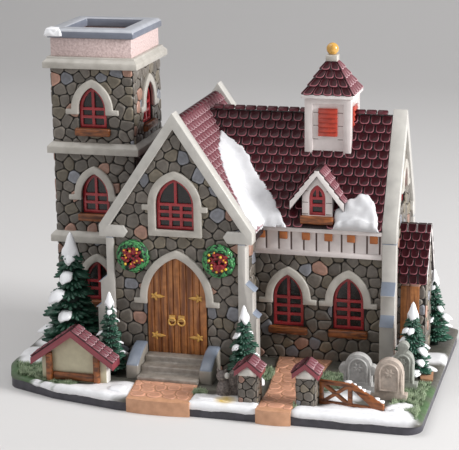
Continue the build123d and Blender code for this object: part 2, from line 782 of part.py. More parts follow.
def cut_clear(rock, others):
    """The largest part of a stone that is left outside other solids, or nothing."""
    box = rock.bounding_box()
    for other, other_box in others:
        if rock is not None and shared(box, other_box) > 0:
            left = (rock - other).solids()
            rock = max(left, key=lambda solid: solid.volume) if left else None
    return rock


def bordered(u0, u1, v0, v1):
    """Upright rectangle on a wall, drawn in by the margin that stones keep from its sides."""
    m = ROCK_MARGIN
    return [(u0 + m, v0 + m), (u1 - m, v0 + m), (u1 - m, v1), (u0 + m, v1)]


def gable_face(middle, half, foot, head, apex):
    """Gable end on a wall, drawn in at its upright sides and foot."""
    m = ROCK_MARGIN
    low = head + (apex - head) * m / half
    return [
        (middle - half + m, foot + m), (middle + half - m, foot + m), (middle + half - m, low),
        (middle, apex), (middle - half + m, low),
    ]


def wall_faces():
    """Faces with stones by node, as facing, wall face, outline on it and the number of its pattern."""
    front = gable_face(ENTRANCE_X, ENTRANCE_HALF, GROUND, ENTRANCE_WALL_HEAD, ENTRANCE_APEX)
    rear = gable_face(-ENTRANCE_X, ENTRANCE_HALF, GROUND, ENTRANCE_WALL_HEAD, ENTRANCE_APEX)
    end = gable_face(NAVE_RIDGE_Y, NAVE_HALF, GROUND, NAVE_WALL_HEAD, NAVE_APEX)
    over_roof = ENTRANCE_WALL_HEAD
    return {
        "entrance_walls": [
            ("front", ENTRANCE_FRONT, front, 11),
            ("rear", ENTRANCE_REAR, rear, 12),
            ("right", NAVE_LEFT, bordered(ENTRANCE_FRONT, NAVE_FRONT, GROUND, ENTRANCE_WALL_HEAD), 13),
            ("left", TOWER_RIGHT, bordered(-TOWER_FRONT, -ENTRANCE_FRONT, GROUND, ENTRANCE_WALL_HEAD), 14),
        ],
        "nave_walls": [
            ("front", NAVE_FRONT, bordered(NAVE_LEFT, END_COPING[0], GROUND, EAVES_BOTTOM), 21),
            ("rear", NAVE_REAR, bordered(-END_COPING[0], -NAVE_LEFT, GROUND, EAVES_BOTTOM), 22),
            ("right", NAVE_RIGHT, end, 23),
        ],
        "tower_walls": [
            ("front", TOWER_FRONT, bordered(TOWER_LEFT, TOWER_RIGHT, GROUND, TOWER_TOP), 31),
            ("rear", TOWER_REAR, bordered(-TOWER_RIGHT, -TOWER_LEFT, GROUND, TOWER_TOP), 32),
            ("left", TOWER_LEFT, bordered(-TOWER_REAR, -TOWER_FRONT, GROUND, TOWER_TOP), 33),
            ("right", TOWER_RIGHT, bordered(TOWER_FRONT, TOWER_REAR, over_roof, TOWER_TOP), 34),
        ],
    }


def add_rocks(pieces):
    """Raises stones on the finished walls, clear of all that is fixed to them."""
    clear = [solid for name in ROCK_NEIGHBOURS for solid in listed(pieces[name])]
    windows = tower_windows() + nave_windows() + gable_windows() + [end_window()]
    clear += [window.opening().solid() for window in windows]
    recess = arch(DOOR_HALF + FIT, DOOR_FOOT, DOOR_SPRING, DOOR_ARCH + FIT)
    clear.append(on_wall(wall_plane("front", ENTRANCE_X, ENTRANCE_FRONT), recess, -DOOR_RECESS, 1).solid())
    hole = Pos(0, LAMP_Z) * Circle(LAMP_HOLE + ROCK_MARGIN)
    clear.append(on_wall(wall_plane("rear", LAMP_X, NAVE_REAR), hole, -WALL - 1, 1).solid())
    clear = with_boxes(clear)
    for name, faces in wall_faces().items():
        walls = with_boxes(listed(pieces[name]))
        added = [[] for _ in walls]
        for facing, face, region, seed in faces:
            plane = wall_plane(facing, 0, face)
            for points in rocks(region, seed):
                rock = on_wall(plane, outline(points), -ROCK_ROOT, ROCK_PROUD).solid()
                box = rock.bounding_box()
                home = max(range(len(walls)), key=lambda i: shared(box, walls[i][1]))
                rock = cut_clear(rock, clear + walls[:home] + walls[home + 1 :])
                if rock is not None and rock.volume > ROCK_LEAST * (ROCK_ROOT + ROCK_PROUD):
                    added[home].append(rock)
        pieces[name] = [wall + rocks_on for (wall, _), rocks_on in zip(walls, added)]


def entrance_walls():
    """Entrance block: four walls with slanted heads, open above and below."""
    shell = entrance_outer() - block(
        ENTRANCE_X - ENTRANCE_HALF + WALL,
        ENTRANCE_X + ENTRANCE_HALF - WALL,
        ENTRANCE_FRONT + WALL,
        ENTRANCE_REAR - WALL,
        0,
        TALL,
    )
    for window in gable_windows():
        shell -= window.opening()
    recess = arch(DOOR_HALF + FIT, DOOR_FOOT, DOOR_SPRING, DOOR_ARCH + FIT)
    shell -= on_wall(wall_plane("front", ENTRANCE_X, ENTRANCE_FRONT), recess, -DOOR_RECESS, 1)
    shell -= block(
        NAVE_LEFT - WALL - 1, NAVE_LEFT + 1,
        NAVE_FRONT + PASSAGE_MARGIN, NAVE_REAR - PASSAGE_MARGIN, 0, PASSAGE_TOP,
    )
    shell -= block(
        TOWER_RIGHT - 1, TOWER_RIGHT + WALL + 1,
        TOWER_FRONT + PASSAGE_MARGIN, TOWER_REAR - PASSAGE_MARGIN - WALL, 0, PASSAGE_TOP,
    )
    return shell


def nave_walls():
    """Nave: two long walls and an end gable, open to the entrance block on the left."""
    shell = nave_outer() - block(
        NAVE_LEFT - 1, NAVE_RIGHT - WALL, NAVE_FRONT + WALL, NAVE_REAR - WALL, 0, TALL
    )
    for window in nave_windows() + [end_window()]:
        shell -= window.opening()
    hole = wall_plane("rear", LAMP_X, NAVE_REAR)
    shell -= on_wall(hole, Pos(0, LAMP_Z) * Circle(LAMP_HOLE), -WALL - 1, 1)
    return shell


def tower_walls():
    """Tower shaft: four slabs joined at the corners, closed above by the cornice."""
    inner_front = TOWER_FRONT + WALL
    inner_rear = TOWER_REAR - WALL
    slabs = [
        block(TOWER_LEFT, TOWER_RIGHT, TOWER_FRONT, inner_front, GROUND, TOWER_TOP),
        block(TOWER_LEFT, TOWER_RIGHT, inner_rear, TOWER_REAR, GROUND, TOWER_TOP),
        block(TOWER_LEFT, TOWER_LEFT + WALL, inner_front, inner_rear, GROUND, TOWER_TOP),
        block(TOWER_RIGHT - WALL, TOWER_RIGHT, inner_front, inner_rear, GROUND, TOWER_TOP),
    ]
    holes = [window.opening() for window in tower_windows()]
    holes.append(
        block(
            TOWER_RIGHT - WALL - 1, TOWER_RIGHT + 1,
            TOWER_FRONT + PASSAGE_MARGIN, TOWER_REAR - PASSAGE_MARGIN - WALL, 0, PASSAGE_TOP,
        )
    )
    for hole in holes:
        slabs = [slab - hole for slab in slabs]
    return slabs


def moulded_band(z0, height, proud, top_slope):
    """Band round the tower with a sloping top, drawn as two stacked slices."""
    width = TOWER_WIDTH + 2 * proud
    depth = TOWER_DEPTH + 2 * proud
    flat = height * (1 - top_slope)
    lower = Pos(TOWER_X, TOWER_Y) * Rectangle(width, depth)
    upper = Pos(TOWER_X, TOWER_Y) * Rectangle(TOWER_WIDTH + proud / 2, TOWER_DEPTH + proud / 2)
    body = prism_z(lower, z0, z0 + flat)
    body += loft([Plane.XY.offset(z0 + flat) * lower, Plane.XY.offset(z0 + height) * upper])
    return body


def tower_trim():
    """String courses, cornice, parapet and coping of the tower."""
    shaft = block(TOWER_LEFT, TOWER_RIGHT, TOWER_FRONT, TOWER_REAR, 0, TALL)
    beyond = block(TOWER_RIGHT, TALL, -TALL, TALL, 0, MIDDLE_COURSE)
    low = moulded_band(LOWER_COURSE, COURSE_HEIGHT, COURSE_PROUD, 0.4) - shaft - beyond
    middle = moulded_band(MIDDLE_COURSE, COURSE_HEIGHT, COURSE_PROUD, 0.4) - shaft
    cornice = moulded_band(TOWER_TOP, CORNICE_HEIGHT, CORNICE_PROUD, 0.45)
    cornice += prism_z(
        Pos(TOWER_X, TOWER_Y) * Rectangle(TOWER_WIDTH + CORNICE_PROUD, TOWER_DEPTH + CORNICE_PROUD),
        TOWER_TOP, TOWER_TOP + CORNICE_HEIGHT,
    )
    z0 = TOWER_TOP + CORNICE_HEIGHT
    cornice -= prism_z(Pos(TOWER_X, TOWER_Y) * Rectangle(TALL, TALL), z0, TALL)
    z1 = z0 + PARAPET_HEIGHT
    parapet = ring(
        TOWER_X, TOWER_Y, TOWER_WIDTH, TOWER_DEPTH,
        TOWER_WIDTH - 2 * PARAPET_WALL, TOWER_DEPTH - 2 * PARAPET_WALL, z0, z1,
    )
    proud = TOWER_COPING_PROUD
    inner = PARAPET_WALL + TOWER_COPING_LIP
    coping = ring(
        TOWER_X, TOWER_Y, TOWER_WIDTH + 2 * proud, TOWER_DEPTH + 2 * proud,
        TOWER_WIDTH - 2 * inner, TOWER_DEPTH - 2 * inner, z1, z1 + TOWER_COPING_HEIGHT,
    )
    top_edges = coping.faces().sort_by(Axis.Z)[-1].outer_wire().edges()
    coping = chamfer(top_edges, proud)
    return {
        "tower_string_courses": [low, middle],
        "tower_cornice": cornice,
        "tower_parapet": parapet,
        "tower_coping": coping,
    }


def entrance_roof():
    """Stepped tile slopes of the entrance block, trimmed where the tower and the nave join it."""
    span = ENTRANCE_HALF + ENTRANCE_EAVE - 1
    line = tile_line(span, ENTRANCE_RIDGE, ENTRANCE_PITCH, ENTRANCE_COURSES, TILE_STEP, TILE_RIDGE)
    points = [(span, ENTRANCE_APEX - ENTRANCE_PITCH * span)] + line
    points = mirrored(points) + [(0, ENTRANCE_APEX)]
    roof = prism_y(outline(shifted(points, ENTRANCE_X)), FRONT_COPING[1], REAR_COPING[0])
    roof -= block(NAVE_LEFT, TALL, NAVE_EAVE_FRONT, TALL, 0, TALL)
    return roof - block(-TALL, TOWER_RIGHT, TOWER_FRONT - FIT, TALL, 0, TALL)


def nave_roof():
    """Stepped tile slopes of the nave, running into the entrance roof at two valleys."""
    span = NAVE_HALF + NAVE_ROOF_EAVE
    line = tile_line(span, NAVE_RIDGE, NAVE_PITCH, NAVE_COURSES, TILE_STEP, TILE_RIDGE)
    inner = (NAVE_APEX - SOFFIT) / NAVE_PITCH
    points = [(inner, SOFFIT), (span, SOFFIT)] + line
    points = mirrored(points) + [(0, NAVE_APEX)]
    roof = prism_x(outline(shifted(points, NAVE_RIDGE_Y)), ENTRANCE_X, END_COPING[0])
    under = entrance_under() & block(-TALL, NAVE_LEFT, -TALL, TALL, 0, TALL)
    return roof - under


def v_coping(half, apex, pitch, lift, foot, reach, point):
    """Drawing of a gable coping: two sloping legs on kneelers with pointed inner ends."""
    tip = apex + lift - pitch * half
    inner = (apex - tip) / pitch
    right = [
        (0, apex + lift),
        (half, tip),
        (half, foot),
        (half - reach + point, foot),
        (half - reach, (foot + tip) / 2),
        (half - reach + point, tip),
        (inner, tip),
        (0, apex),
    ]
    left = [(-u, v) for u, v in reversed(right[1:-1])]
    return right + left


def copings():
    """Gable copings of the entrance block and of the nave's end."""
    entrance = v_coping(
        ENTRANCE_HALF + ENTRANCE_EAVE, ENTRANCE_APEX, ENTRANCE_PITCH, ENTRANCE_LIFT,
        KNEELER_FOOT, KNEELER_REACH, KNEELER_POINT,
    )
    drawing = outline(shifted(entrance, ENTRANCE_X))
    walls = entrance_outer()
    nave = v_coping(
        NAVE_HALF + NAVE_EAVE, NAVE_APEX, NAVE_PITCH, NAVE_LIFT,
        NAVE_KNEELER_FOOT, NAVE_EAVE + 4, KNEELER_POINT,
    )
    end = prism_x(outline(shifted(nave, NAVE_RIDGE_Y)), *END_COPING) - nave_outer()
    rear = prism_y(drawing, *REAR_COPING) - walls
    tower = block(TOWER_LEFT, TOWER_RIGHT, TOWER_FRONT, TOWER_REAR, 0, TALL)
    nave_side = block(NAVE_LEFT, TALL, NAVE_EAVE_FRONT, NAVE_REAR + NAVE_ROOF_EAVE, 0, TALL)
    return {
        "entrance_copings": [prism_y(drawing, *FRONT_COPING) - walls, rear - tower - nave_side],
        "nave_end_coping": end,
    }


def eaves_boards():
    """Boarded bands with a cap and a foot moulding under the nave's eaves, and their corbels."""
    x0 = NAVE_LEFT
    x1 = END_COPING[0]
    points = [
        (0, EAVES_BOTTOM),
        (EAVES_FOOT, EAVES_BOTTOM),
        (EAVES_FOOT, EAVES_BOTTOM + EAVES_FOOT_HEIGHT),
        (EAVES_BOARD, EAVES_BOTTOM + EAVES_FOOT_HEIGHT),
        (EAVES_BOARD, SOFFIT - EAVES_CAP_HEIGHT),
        (EAVES_CAP, SOFFIT - EAVES_CAP_HEIGHT),
        (EAVES_CAP, SOFFIT),
        (0, SOFFIT),
    ]
    top = SOFFIT - EAVES_CAP_HEIGHT
    bottom = EAVES_BOTTOM + EAVES_FOOT_HEIGHT
    boards = []
    corbels = []
    for face, out in ((NAVE_FRONT, -1), (NAVE_REAR, 1)):
        band = prism_x(outline([(face + out * d, z) for d, z in points]), x0, x1)
        front = face + out * EAVES_BOARD
        groove_at = x0 + BOARD_PITCH
        while groove_at < x1 - BOARD_GROOVE:
            y0, y1 = sorted((front - out * BOARD_GROOVE, front + out * BOARD_GROOVE))
            band -= block(groove_at, groove_at + BOARD_GROOVE, y0, y1, bottom, top)
            groove_at += BOARD_PITCH
        boards.append(band)
        pitch = (x1 - x0 - 2 * CORBEL_INSET) / (CORBEL_COUNT - 1)
        for i in range(CORBEL_COUNT):
            middle = x0 + CORBEL_INSET + i * pitch
            y0, y1 = sorted((front, front + out * CORBEL_PROUD))
            corbels.append(block(middle - CORBEL / 2, middle + CORBEL / 2, y0, y1, top - CORBEL, top))
    return {"eaves_boards": boards, "corbel_blocks": corbels}


def staged_side(shaft, stages, drip, foot, head):
    """Drawing of a buttress: distance out from the wall against height."""
    points = [(0, foot), (stages[0][2], foot)]
    uppers = [stage[2] for stage in stages[1:]] + [shaft]
    for (low, high, reach), upper in zip(stages, uppers):
        points += [(reach, low), (reach + drip, low), (upper, high)]
    points.append((shaft, head))
    points.append((0, head))
    return points


def buttresses():
    """Corner buttresses with two sloping set-offs each."""
    side = staged_side(BUTTRESS_SHAFT, BUTTRESS_STAGES, BUTTRESS_DRIP, GROUND, KNEELER_FOOT)
    walls = entrance_outer()
    entrance = []
    for out in (-1, 1):
        face = ENTRANCE_X + out * ENTRANCE_HALF
        drawing = [(face + out * d, z) for d, z in side]
        inner = [(face - out * BUTTRESS_INSET, z) for d, z in (side[-1], side[0])]
        pier = prism_y(outline(drawing + inner), *FRONT_COPING)
        entrance.append(pier - walls)
    nave_side = staged_side(NAVE_EAVE, NAVE_BUTTRESS_STAGES, BUTTRESS_DRIP, GROUND, NAVE_KNEELER_FOOT)
    nave = []
    for face, out in ((NAVE_FRONT, -1), (NAVE_REAR, 1)):
        nave.append(prism_x(outline([(face + out * d, z) for d, z in nave_side]), *END_COPING))
    return {"entrance_buttresses": entrance, "nave_buttresses": nave}


def entrance_door():
    """Planked pointed door in its recess, with hood, hinges, ring handles and wreaths."""
    plane = wall_plane("front", ENTRANCE_X, ENTRANCE_FRONT)
    outer = DOOR_THICK - DOOR_RECESS
    leaf = on_wall(plane, arch(DOOR_HALF, DOOR_FOOT, DOOR_SPRING, DOOR_ARCH), -DOOR_RECESS, outer)
    plank = 2 * DOOR_HALF / PLANK_COUNT
    for i in range(1, PLANK_COUNT):
        x = ENTRANCE_X - DOOR_HALF + i * plank
        face = ENTRANCE_FRONT - outer
        notch = outline(
            [(x - PLANK_GROOVE / 2, face - 0.1), (x, face + PLANK_GROOVE), (x + PLANK_GROOVE / 2, face - 0.1)]
        )
        leaf -= prism_z(notch, 0, TALL)
    hinges = []
    for out in (-1, 1):
        for z in HINGE_HEIGHTS:
            middle = out * (DOOR_HALF - HINGE_INSET)
            plate = Pos(middle, z) * Ellipse(HINGE_LENGTH / 2, HINGE_HEIGHT / 2)
            hinges.append(on_wall(plane, plate, outer, outer + HINGE_PROUD))
    rings = []
    for out in (-1, 1):
        at = Pos(out * RING_SPREAD, RING_HEIGHT)
        plate = on_wall(plane, at * Rectangle(RING_PLATE, RING_PLATE), outer, outer + HINGE_PROUD)
        hoop = plane.offset(outer + HINGE_PROUD) * Pos(out * RING_SPREAD, RING_HEIGHT - RING_RADIUS, 0)
        rings.append(plate + hoop * Torus(RING_RADIUS, RING_WIRE))
    wreaths = []
    for out in (-1, 1):
        at = Pos(out * (ENTRANCE_HALF - WREATH_INSET), WREATH_HEIGHT, WREATH_TUBE / 2)
        hoop = plane * at * Torus(WREATH_RADIUS, WREATH_TUBE)
        wreaths.append(hoop - entrance_outer())
    hood = hood_mould(plane, DOOR_HALF, DOOR_SPRING, DOOR_ARCH, DOOR_HOOD_WIDTH, HOOD_STOP)
    return {
        "entrance_door": leaf,
        "entrance_door_hood": hood,
        "door_hinges": hinges,
        "door_rings": rings,
        "door_wreaths": wreaths,
    }


def cupola():
    """Louvred turret astride the nave's ridge, under a flared tile roof with a gold ball."""
    half = CUPOLA_SIZE / 2
    body = block(
        CUPOLA_X - half, CUPOLA_X + half, NAVE_RIDGE_Y - half, NAVE_RIDGE_Y + half, SOFFIT, CUPOLA_TOP
    )
    outer = half + CUPOLA_POST_PROUD
    for x in (-1, 1):
        for y in (-1, 1):
            middle = outer - CUPOLA_POST / 2
            body += Pos(CUPOLA_X + x * middle, NAVE_RIDGE_Y + y * middle, (SOFFIT + CUPOLA_TOP) / 2) * Box(
                CUPOLA_POST, CUPOLA_POST, CUPOLA_TOP - SOFFIT
            )
    body += Pos(CUPOLA_X, NAVE_RIDGE_Y, CUPOLA_TOP - CUPOLA_HEAD / 2) * Box(2 * outer, 2 * outer, CUPOLA_HEAD)
    body -= nave_under()
    louvres = []
    pitch = LOUVRE_HEIGHT / LOUVRE_SLATS
    saw = [(0, LOUVRE_FOOT), (LOUVRE_PROUD, LOUVRE_FOOT)]
    for i in range(LOUVRE_SLATS):
        saw.append((LOUVRE_BACK, LOUVRE_FOOT + (i + 1) * pitch - LOUVRE_BACK))
        saw.append((LOUVRE_PROUD, LOUVRE_FOOT + (i + 1) * pitch))
    saw.append((0, LOUVRE_FOOT + LOUVRE_HEIGHT))
    panel = prism_x(outline([(-half - d, z) for d, z in saw]), -LOUVRE_WIDTH / 2, LOUVRE_WIDTH / 2)
    for quarter in range(4):
        louvres.append(Pos(CUPOLA_X, NAVE_RIDGE_Y) * Rot(0, 0, 90 * quarter) * panel - nave_under())
    z = CUPOLA_TOP
    roof = Pos(CUPOLA_X, NAVE_RIDGE_Y, z + CUPOLA_EAVE_BOARD / 2) * Box(
        CUPOLA_EAVE, CUPOLA_EAVE, CUPOLA_EAVE_BOARD
    )
    z += CUPOLA_EAVE_BOARD
    width = CUPOLA_EAVE
    shrink = (CUPOLA_EAVE - CUPOLA_NECK) / CUPOLA_COURSES
    for _ in range(CUPOLA_COURSES):
        lower = Pos(CUPOLA_X, NAVE_RIDGE_Y) * Rectangle(width, width)
        narrow = width - shrink - 2 * CUPOLA_STEP
        upper = Pos(CUPOLA_X, NAVE_RIDGE_Y) * Rectangle(narrow, narrow)
        roof += loft([Plane.XY.offset(z) * lower, Plane.XY.offset(z + CUPOLA_COURSE_RISE) * upper])
        z += CUPOLA_COURSE_RISE
        width -= shrink
    collar = Pos(CUPOLA_X, NAVE_RIDGE_Y, z + COLLAR_HEIGHT / 2) * Box(COLLAR_SIZE, COLLAR_SIZE, COLLAR_HEIGHT)
    seat = z + COLLAR_HEIGHT
    ball = Pos(CUPOLA_X, NAVE_RIDGE_Y, seat + BALL_RADIUS * 0.9) * Sphere(BALL_RADIUS)
    ball -= Pos(CUPOLA_X, NAVE_RIDGE_Y, seat - TALL / 2) * Box(TALL, TALL, TALL)
    return {
        "cupola_body": body,
        "cupola_louvres": louvres,
        "cupola_roof": roof,
        "cupola_collar": collar,
        "cupola_ball": ball,
    }


def dormer():
    """Gabled dormer standing out of the nave's front slope."""
    under = nave_under()
    inner_apex = DORMER_APEX - DORMER_TILES
    back = NAVE_RIDGE_Y
    side = inner_apex - DORMER_PITCH * DORMER_HALF
    points = [(DORMER_HALF, SOFFIT), (DORMER_HALF, side), (0, inner_apex), (-DORMER_HALF, side)]
    points.append((-DORMER_HALF, SOFFIT))
    walls = prism_y(outline(shifted(points, DORMER_X)), DORMER_FRONT, back) - under
    window = dormer_window()
    recess = arch(window.half, window.foot, window.spring, window.radius)
    walls -= on_wall(window.plane, recess, -FRAME_SET - FRAME_THICK, 1)
    line = tile_line(DORMER_SPAN, DORMER_APEX, DORMER_PITCH, DORMER_COURSES, DORMER_STEP, TILE_RIDGE)
    points = [(DORMER_SPAN, inner_apex - DORMER_PITCH * DORMER_SPAN)] + line
    points = mirrored(points) + [(0, inner_apex)]
    roof = prism_y(outline(shifted(points, DORMER_X)), DORMER_FRONT - DORMER_LAP, back) - under
    return {"dormer_walls": walls, "dormer_roof": roof, "dormer_window": window.frame() - under}


def porch():
    """Small gabled porch on the nave's end, with its own plank door."""
    x0 = NAVE_RIGHT
    x1 = NAVE_RIGHT + PORCH_REACH
    inner_apex = PORCH_APEX - PORCH_TILES
    side = inner_apex - PORCH_PITCH * PORCH_HALF
    line = [(PORCH_HALF, GROUND), (PORCH_HALF, side)]
    points = line + [(0, inner_apex)] + [(-u, v) for u, v in reversed(line)]
    walls = prism_x(outline(shifted(points, PORCH_Y)), x0, x1)
    tiles = tile_line(PORCH_SPAN, PORCH_APEX, PORCH_PITCH, PORCH_COURSES, TILE_STEP, TILE_RIDGE)
    points = [(PORCH_SPAN, inner_apex - PORCH_PITCH * PORCH_SPAN)] + tiles
    points = mirrored(points) + [(0, inner_apex)]
    roof = prism_x(outline(shifted(points, PORCH_Y)), x0, x1 + PORCH_LAP) - nave_outer()
    roof -= block(END_COPING[0], END_COPING[1], -TALL, TALL, 0, TALL) & copings()["nave_end_coping"]
    plane = wall_plane("front", PORCH_DOOR_X, PORCH_Y - PORCH_HALF)
    door = Pos(0, (GROUND + PATH_RISE + PORCH_DOOR_TOP) / 2) * Rectangle(
        2 * PORCH_DOOR_HALF, PORCH_DOOR_TOP - GROUND - PATH_RISE
    )
    leaf = on_wall(plane, door, 0, PORCH_DOOR_PROUD)
    return {"porch_walls": walls, "porch_roof": roof, "porch_door": leaf}


def snow():
    """Snow in the front valley, beside the dormer and along the front of the base."""
    under = nave_under() + entrance_under()
    over = nave_under(SNOW_DEPTH) + entrance_under(SNOW_DEPTH)
    valley_plan = outline([(NAVE_LEFT + u, NAVE_FRONT + v) for u, v in VALLEY_SNOW])
    valley = (prism_z(valley_plan, SOFFIT, TALL) & over) - under
    eave = DORMER_X + DORMER_SPAN
    beside_plan = outline([(eave + u, NAVE_FRONT + v) for u, v in DORMER_SNOW])
    beside = (prism_z(beside_plan, SOFFIT, TALL) & nave_under(SNOW_DEPTH)) - nave_under()
    edge = BASE_FRONT + 2 * BASE_RIM
    door_left = ENTRANCE_X - STEP_HALF
    door_right = ENTRANCE_X + STEP_HALF + PATH_SKEW + DRIFT_GAP
    pillar = PILLARS[0][0] + PILLAR_WIDTH / 2
    sign_right = SIGN_X + SIGN_WIDTH / 2 + 2 * DRIFT_GAP
    fence_side = PILLARS[1][0] - 4 * DRIFT_GAP
    end = BASE_RIGHT - BASE_CORNER
    backs = [edge + depth for depth in DRIFT_BACKS]
    drift_plans = (
        [
            (sign_right, edge + 2.5 * DRIFT_GAP), (door_left + DRIFT_GAP, edge),
            (door_left - DRIFT_GAP, backs[1]), (sign_right + DRIFT_GAP, backs[0]),
        ],
        [(door_right, edge), (pillar, edge), (pillar - 3 * DRIFT_GAP, backs[3]), (door_right, backs[2])],
        [
            (fence_side, edge), (end, edge),
            (end + DRIFT_GAP, backs[5]), (fence_side + 6 * DRIFT_GAP, backs[4]),
        ],
    )
    drifts = []
    for plan in drift_plans:
        lower = Plane.XY.offset(GROUND) * outline(plan)
        drifts.append(extrude(lower, DRIFT_HEIGHT, taper=30))
    return {"roof_snow": [valley, beside], "snow_drifts": drifts}


def sign():
    """Gabled sign block with a tile roof, held between two log posts and a rail."""
    front = SIGN_Y - SIGN_THICK / 2
    half = SIGN_WIDTH / 2
    foot = GROUND
    eave = foot + SIGN_WALL
    points = [(half, foot), (half, eave), (0, eave + SIGN_RISE), (-half, eave), (-half, foot)]
    board = prism_y(outline(shifted(points, SIGN_X)), front, front + SIGN_THICK)
    pitch = SIGN_RISE / half
    lap = half + SIGN_ROOF_LAP
    low = eave + SIGN_RISE - pitch * lap
    roof_points = [
        (lap, low), (lap, low + SIGN_ROOF), (0, eave + SIGN_RISE + SIGN_ROOF),
        (-lap, low + SIGN_ROOF), (-lap, low), (0, eave + SIGN_RISE),
    ]
    back = front + SIGN_THICK + SIGN_ROOF_BACK
    roof = prism_y(outline(shifted(roof_points, SIGN_X)), front - SIGN_ROOF_FRONT, back)
    posts = []
    for out in (-1, 1):
        x = SIGN_X + out * SIGN_POST_SPREAD / 2
        middle = Pos(x, front - SIGN_POST / 2, foot + SIGN_POST_HEIGHT / 2)
        log = middle * Box(SIGN_POST, SIGN_POST, SIGN_POST_HEIGHT)
        posts.append(chamfer(log.edges().filter_by(Axis.Z), SIGN_POST / 4) - roof)
    x = SIGN_POST_SPREAD / 2 - SIGN_POST / 2
    z = foot + SIGN_RAIL_HEIGHT
    posts.append(block(SIGN_X - x, SIGN_X + x, front - SIGN_POST / 2, front, z, z + SIGN_RAIL))
    return {"sign_board": board, "sign_roof": roof, "sign_posts": posts}


def gate_pillars():
    """Two stone gate pillars under small gabled tile caps."""
    shafts = []
    caps = []
    half = PILLAR_WIDTH / 2
    top = GROUND + PILLAR_HEIGHT
    pitch = PILLAR_PEAK / half
    lap = half + PILLAR_CAP_LAP
    for x, y in PILLARS:
        points = [(half, GROUND), (half, top), (0, top + PILLAR_PEAK), (-half, top), (-half, GROUND)]
        shafts.append(prism_y(outline(shifted(points, x)), y - half, y + half))
        low = top + PILLAR_PEAK - pitch * lap
        roof = [
            (lap, low), (lap, low + PILLAR_CAP_THICK), (0, top + PILLAR_PEAK + PILLAR_CAP_THICK),
            (-lap, low + PILLAR_CAP_THICK), (-lap, low), (0, top + PILLAR_PEAK),
        ]
        caps.append(prism_y(outline(shifted(roof, x)), y - lap + 1, y + lap - 1))
    return {"gate_pillars": shafts, "gate_pillar_caps": caps}


def garden_fence():
    """Log fence with crossed braces, its far end sloping to the ground."""
    length = sqrt((FENCE_END[0] - FENCE_START[0]) ** 2 + (FENCE_END[1] - FENCE_START[1]) ** 2)
    turn = atan2(FENCE_END[1] - FENCE_START[1], FENCE_END[0] - FENCE_START[0]) * 180 / pi
    rail = FENCE_RAIL
    top = FENCE_HEIGHT
    face = outline([(0, 0), (length, 0), (length, FENCE_LOW), (FENCE_FLAT + rail, top), (0, top)])
    left = outline([(rail, rail), (FENCE_FLAT, rail), (FENCE_FLAT, top - rail), (rail, top - rail)])
    slope = (top - FENCE_LOW) / (length - FENCE_FLAT - rail)
    start = FENCE_FLAT + rail
    end = length - rail - (rail + 2 * rail - FENCE_LOW) / slope
    right = outline(
        [(start, rail), (end, rail), (start, top - 1.4 * rail)]
    )
    middle = ((rail + FENCE_FLAT) / 2, top / 2)
    reach = FENCE_FLAT * 1.4
    for lean in (36, -36):
        left -= Pos(*middle) * Rot(0, 0, lean) * Rectangle(reach, rail * 0.8)
    panel = face - left - right
    body = extrude(Plane.XZ * panel, FENCE_THICK)
    return Pos(FENCE_START[0], FENCE_START[1], GROUND) * Rot(0, 0, turn) * body


def gravestones():
    """Three gravestones on plinths: a shouldered one, a round-headed one and one with a knob."""
    stones = []
    for i, (x, y) in enumerate(STONES_AT):
        half = STONE_WIDTHS[i] / 2
        shoulder = STONE_SHOULDERS[i]
        middle = (STONE_PLINTH_HEIGHT + shoulder) / 2
        slab = Pos(0, middle) * Rectangle(2 * half, shoulder - STONE_PLINTH_HEIGHT)
        slab += Pos(0, STONE_PLINTH_HEIGHT / 2) * Rectangle(2 * (half + STONE_PLINTH), STONE_PLINTH_HEIGHT)
        head = Pos(0, shoulder) * Circle(half * 0.96)
        slab += head - Pos(0, shoulder - half) * Rectangle(4 * half, 2 * half)
        if i == 0:
            for out in (-1, 1):
                slab += Pos(out * half, shoulder - STONE_WING / 2) * Circle(STONE_WING)
        if i == 2:
            slab += Pos(0, shoulder + half + STONE_KNOB * 0.6) * Circle(STONE_KNOB)
        stones.append(Pos(x, y + STONE_THICK / 2, GROUND) * extrude(Plane.XZ * slab, STONE_THICK))
    return stones


def garden_animal():
    """Sitting squirrel with its tail up behind it."""
    x, y = ANIMAL_AT
    seat = make_face(
        [
            Line((0, 0), (ANIMAL_BODY, 0)),
            ThreePointArc((ANIMAL_BODY, 0), (ANIMAL_BODY * 0.95, ANIMAL_HEIGHT * 0.5), (0, ANIMAL_HEIGHT)),
            Line((0, ANIMAL_HEIGHT), (0, 0)),
        ]
    )
    body = revolve(Plane.XZ * seat, Axis.Z)
    head = Pos(-1.5, -1.4, ANIMAL_HEIGHT) * Sphere(ANIMAL_HEAD)
    tail = Pos(ANIMAL_BODY, 1.0, ANIMAL_TAIL_HEIGHT / 2) * Cylinder(ANIMAL_TAIL, ANIMAL_TAIL_HEIGHT)
    tail += Pos(ANIMAL_BODY, 1.0, ANIMAL_TAIL_HEIGHT) * Sphere(ANIMAL_TAIL)
    return Pos(x, y, GROUND) * (body + head + tail)


def tree(x, y, height, spread):
    """Conifer: a short trunk under tiers that narrow to the tip."""
    points = [(0, 0), (TREE_TRUNK, 0), (TREE_TRUNK, TREE_TRUNK_HEIGHT)]
    tall = height - TREE_TRUNK_HEIGHT
    for i in range(TREE_TIERS):
        z = TREE_TRUNK_HEIGHT + tall * i / TREE_TIERS
        wide = spread * (1 - i / TREE_TIERS) ** 0.8
        above = spread * (1 - (i + 1) / TREE_TIERS) ** 0.8
        points.append((wide, z))
        points.append((above * TREE_TUCK, z + tall / TREE_TIERS))
    cone = revolve(Plane.XZ * outline(points[:-1] + [(0, height)]), Axis.Z)
    return Pos(x, y, GROUND) * cone


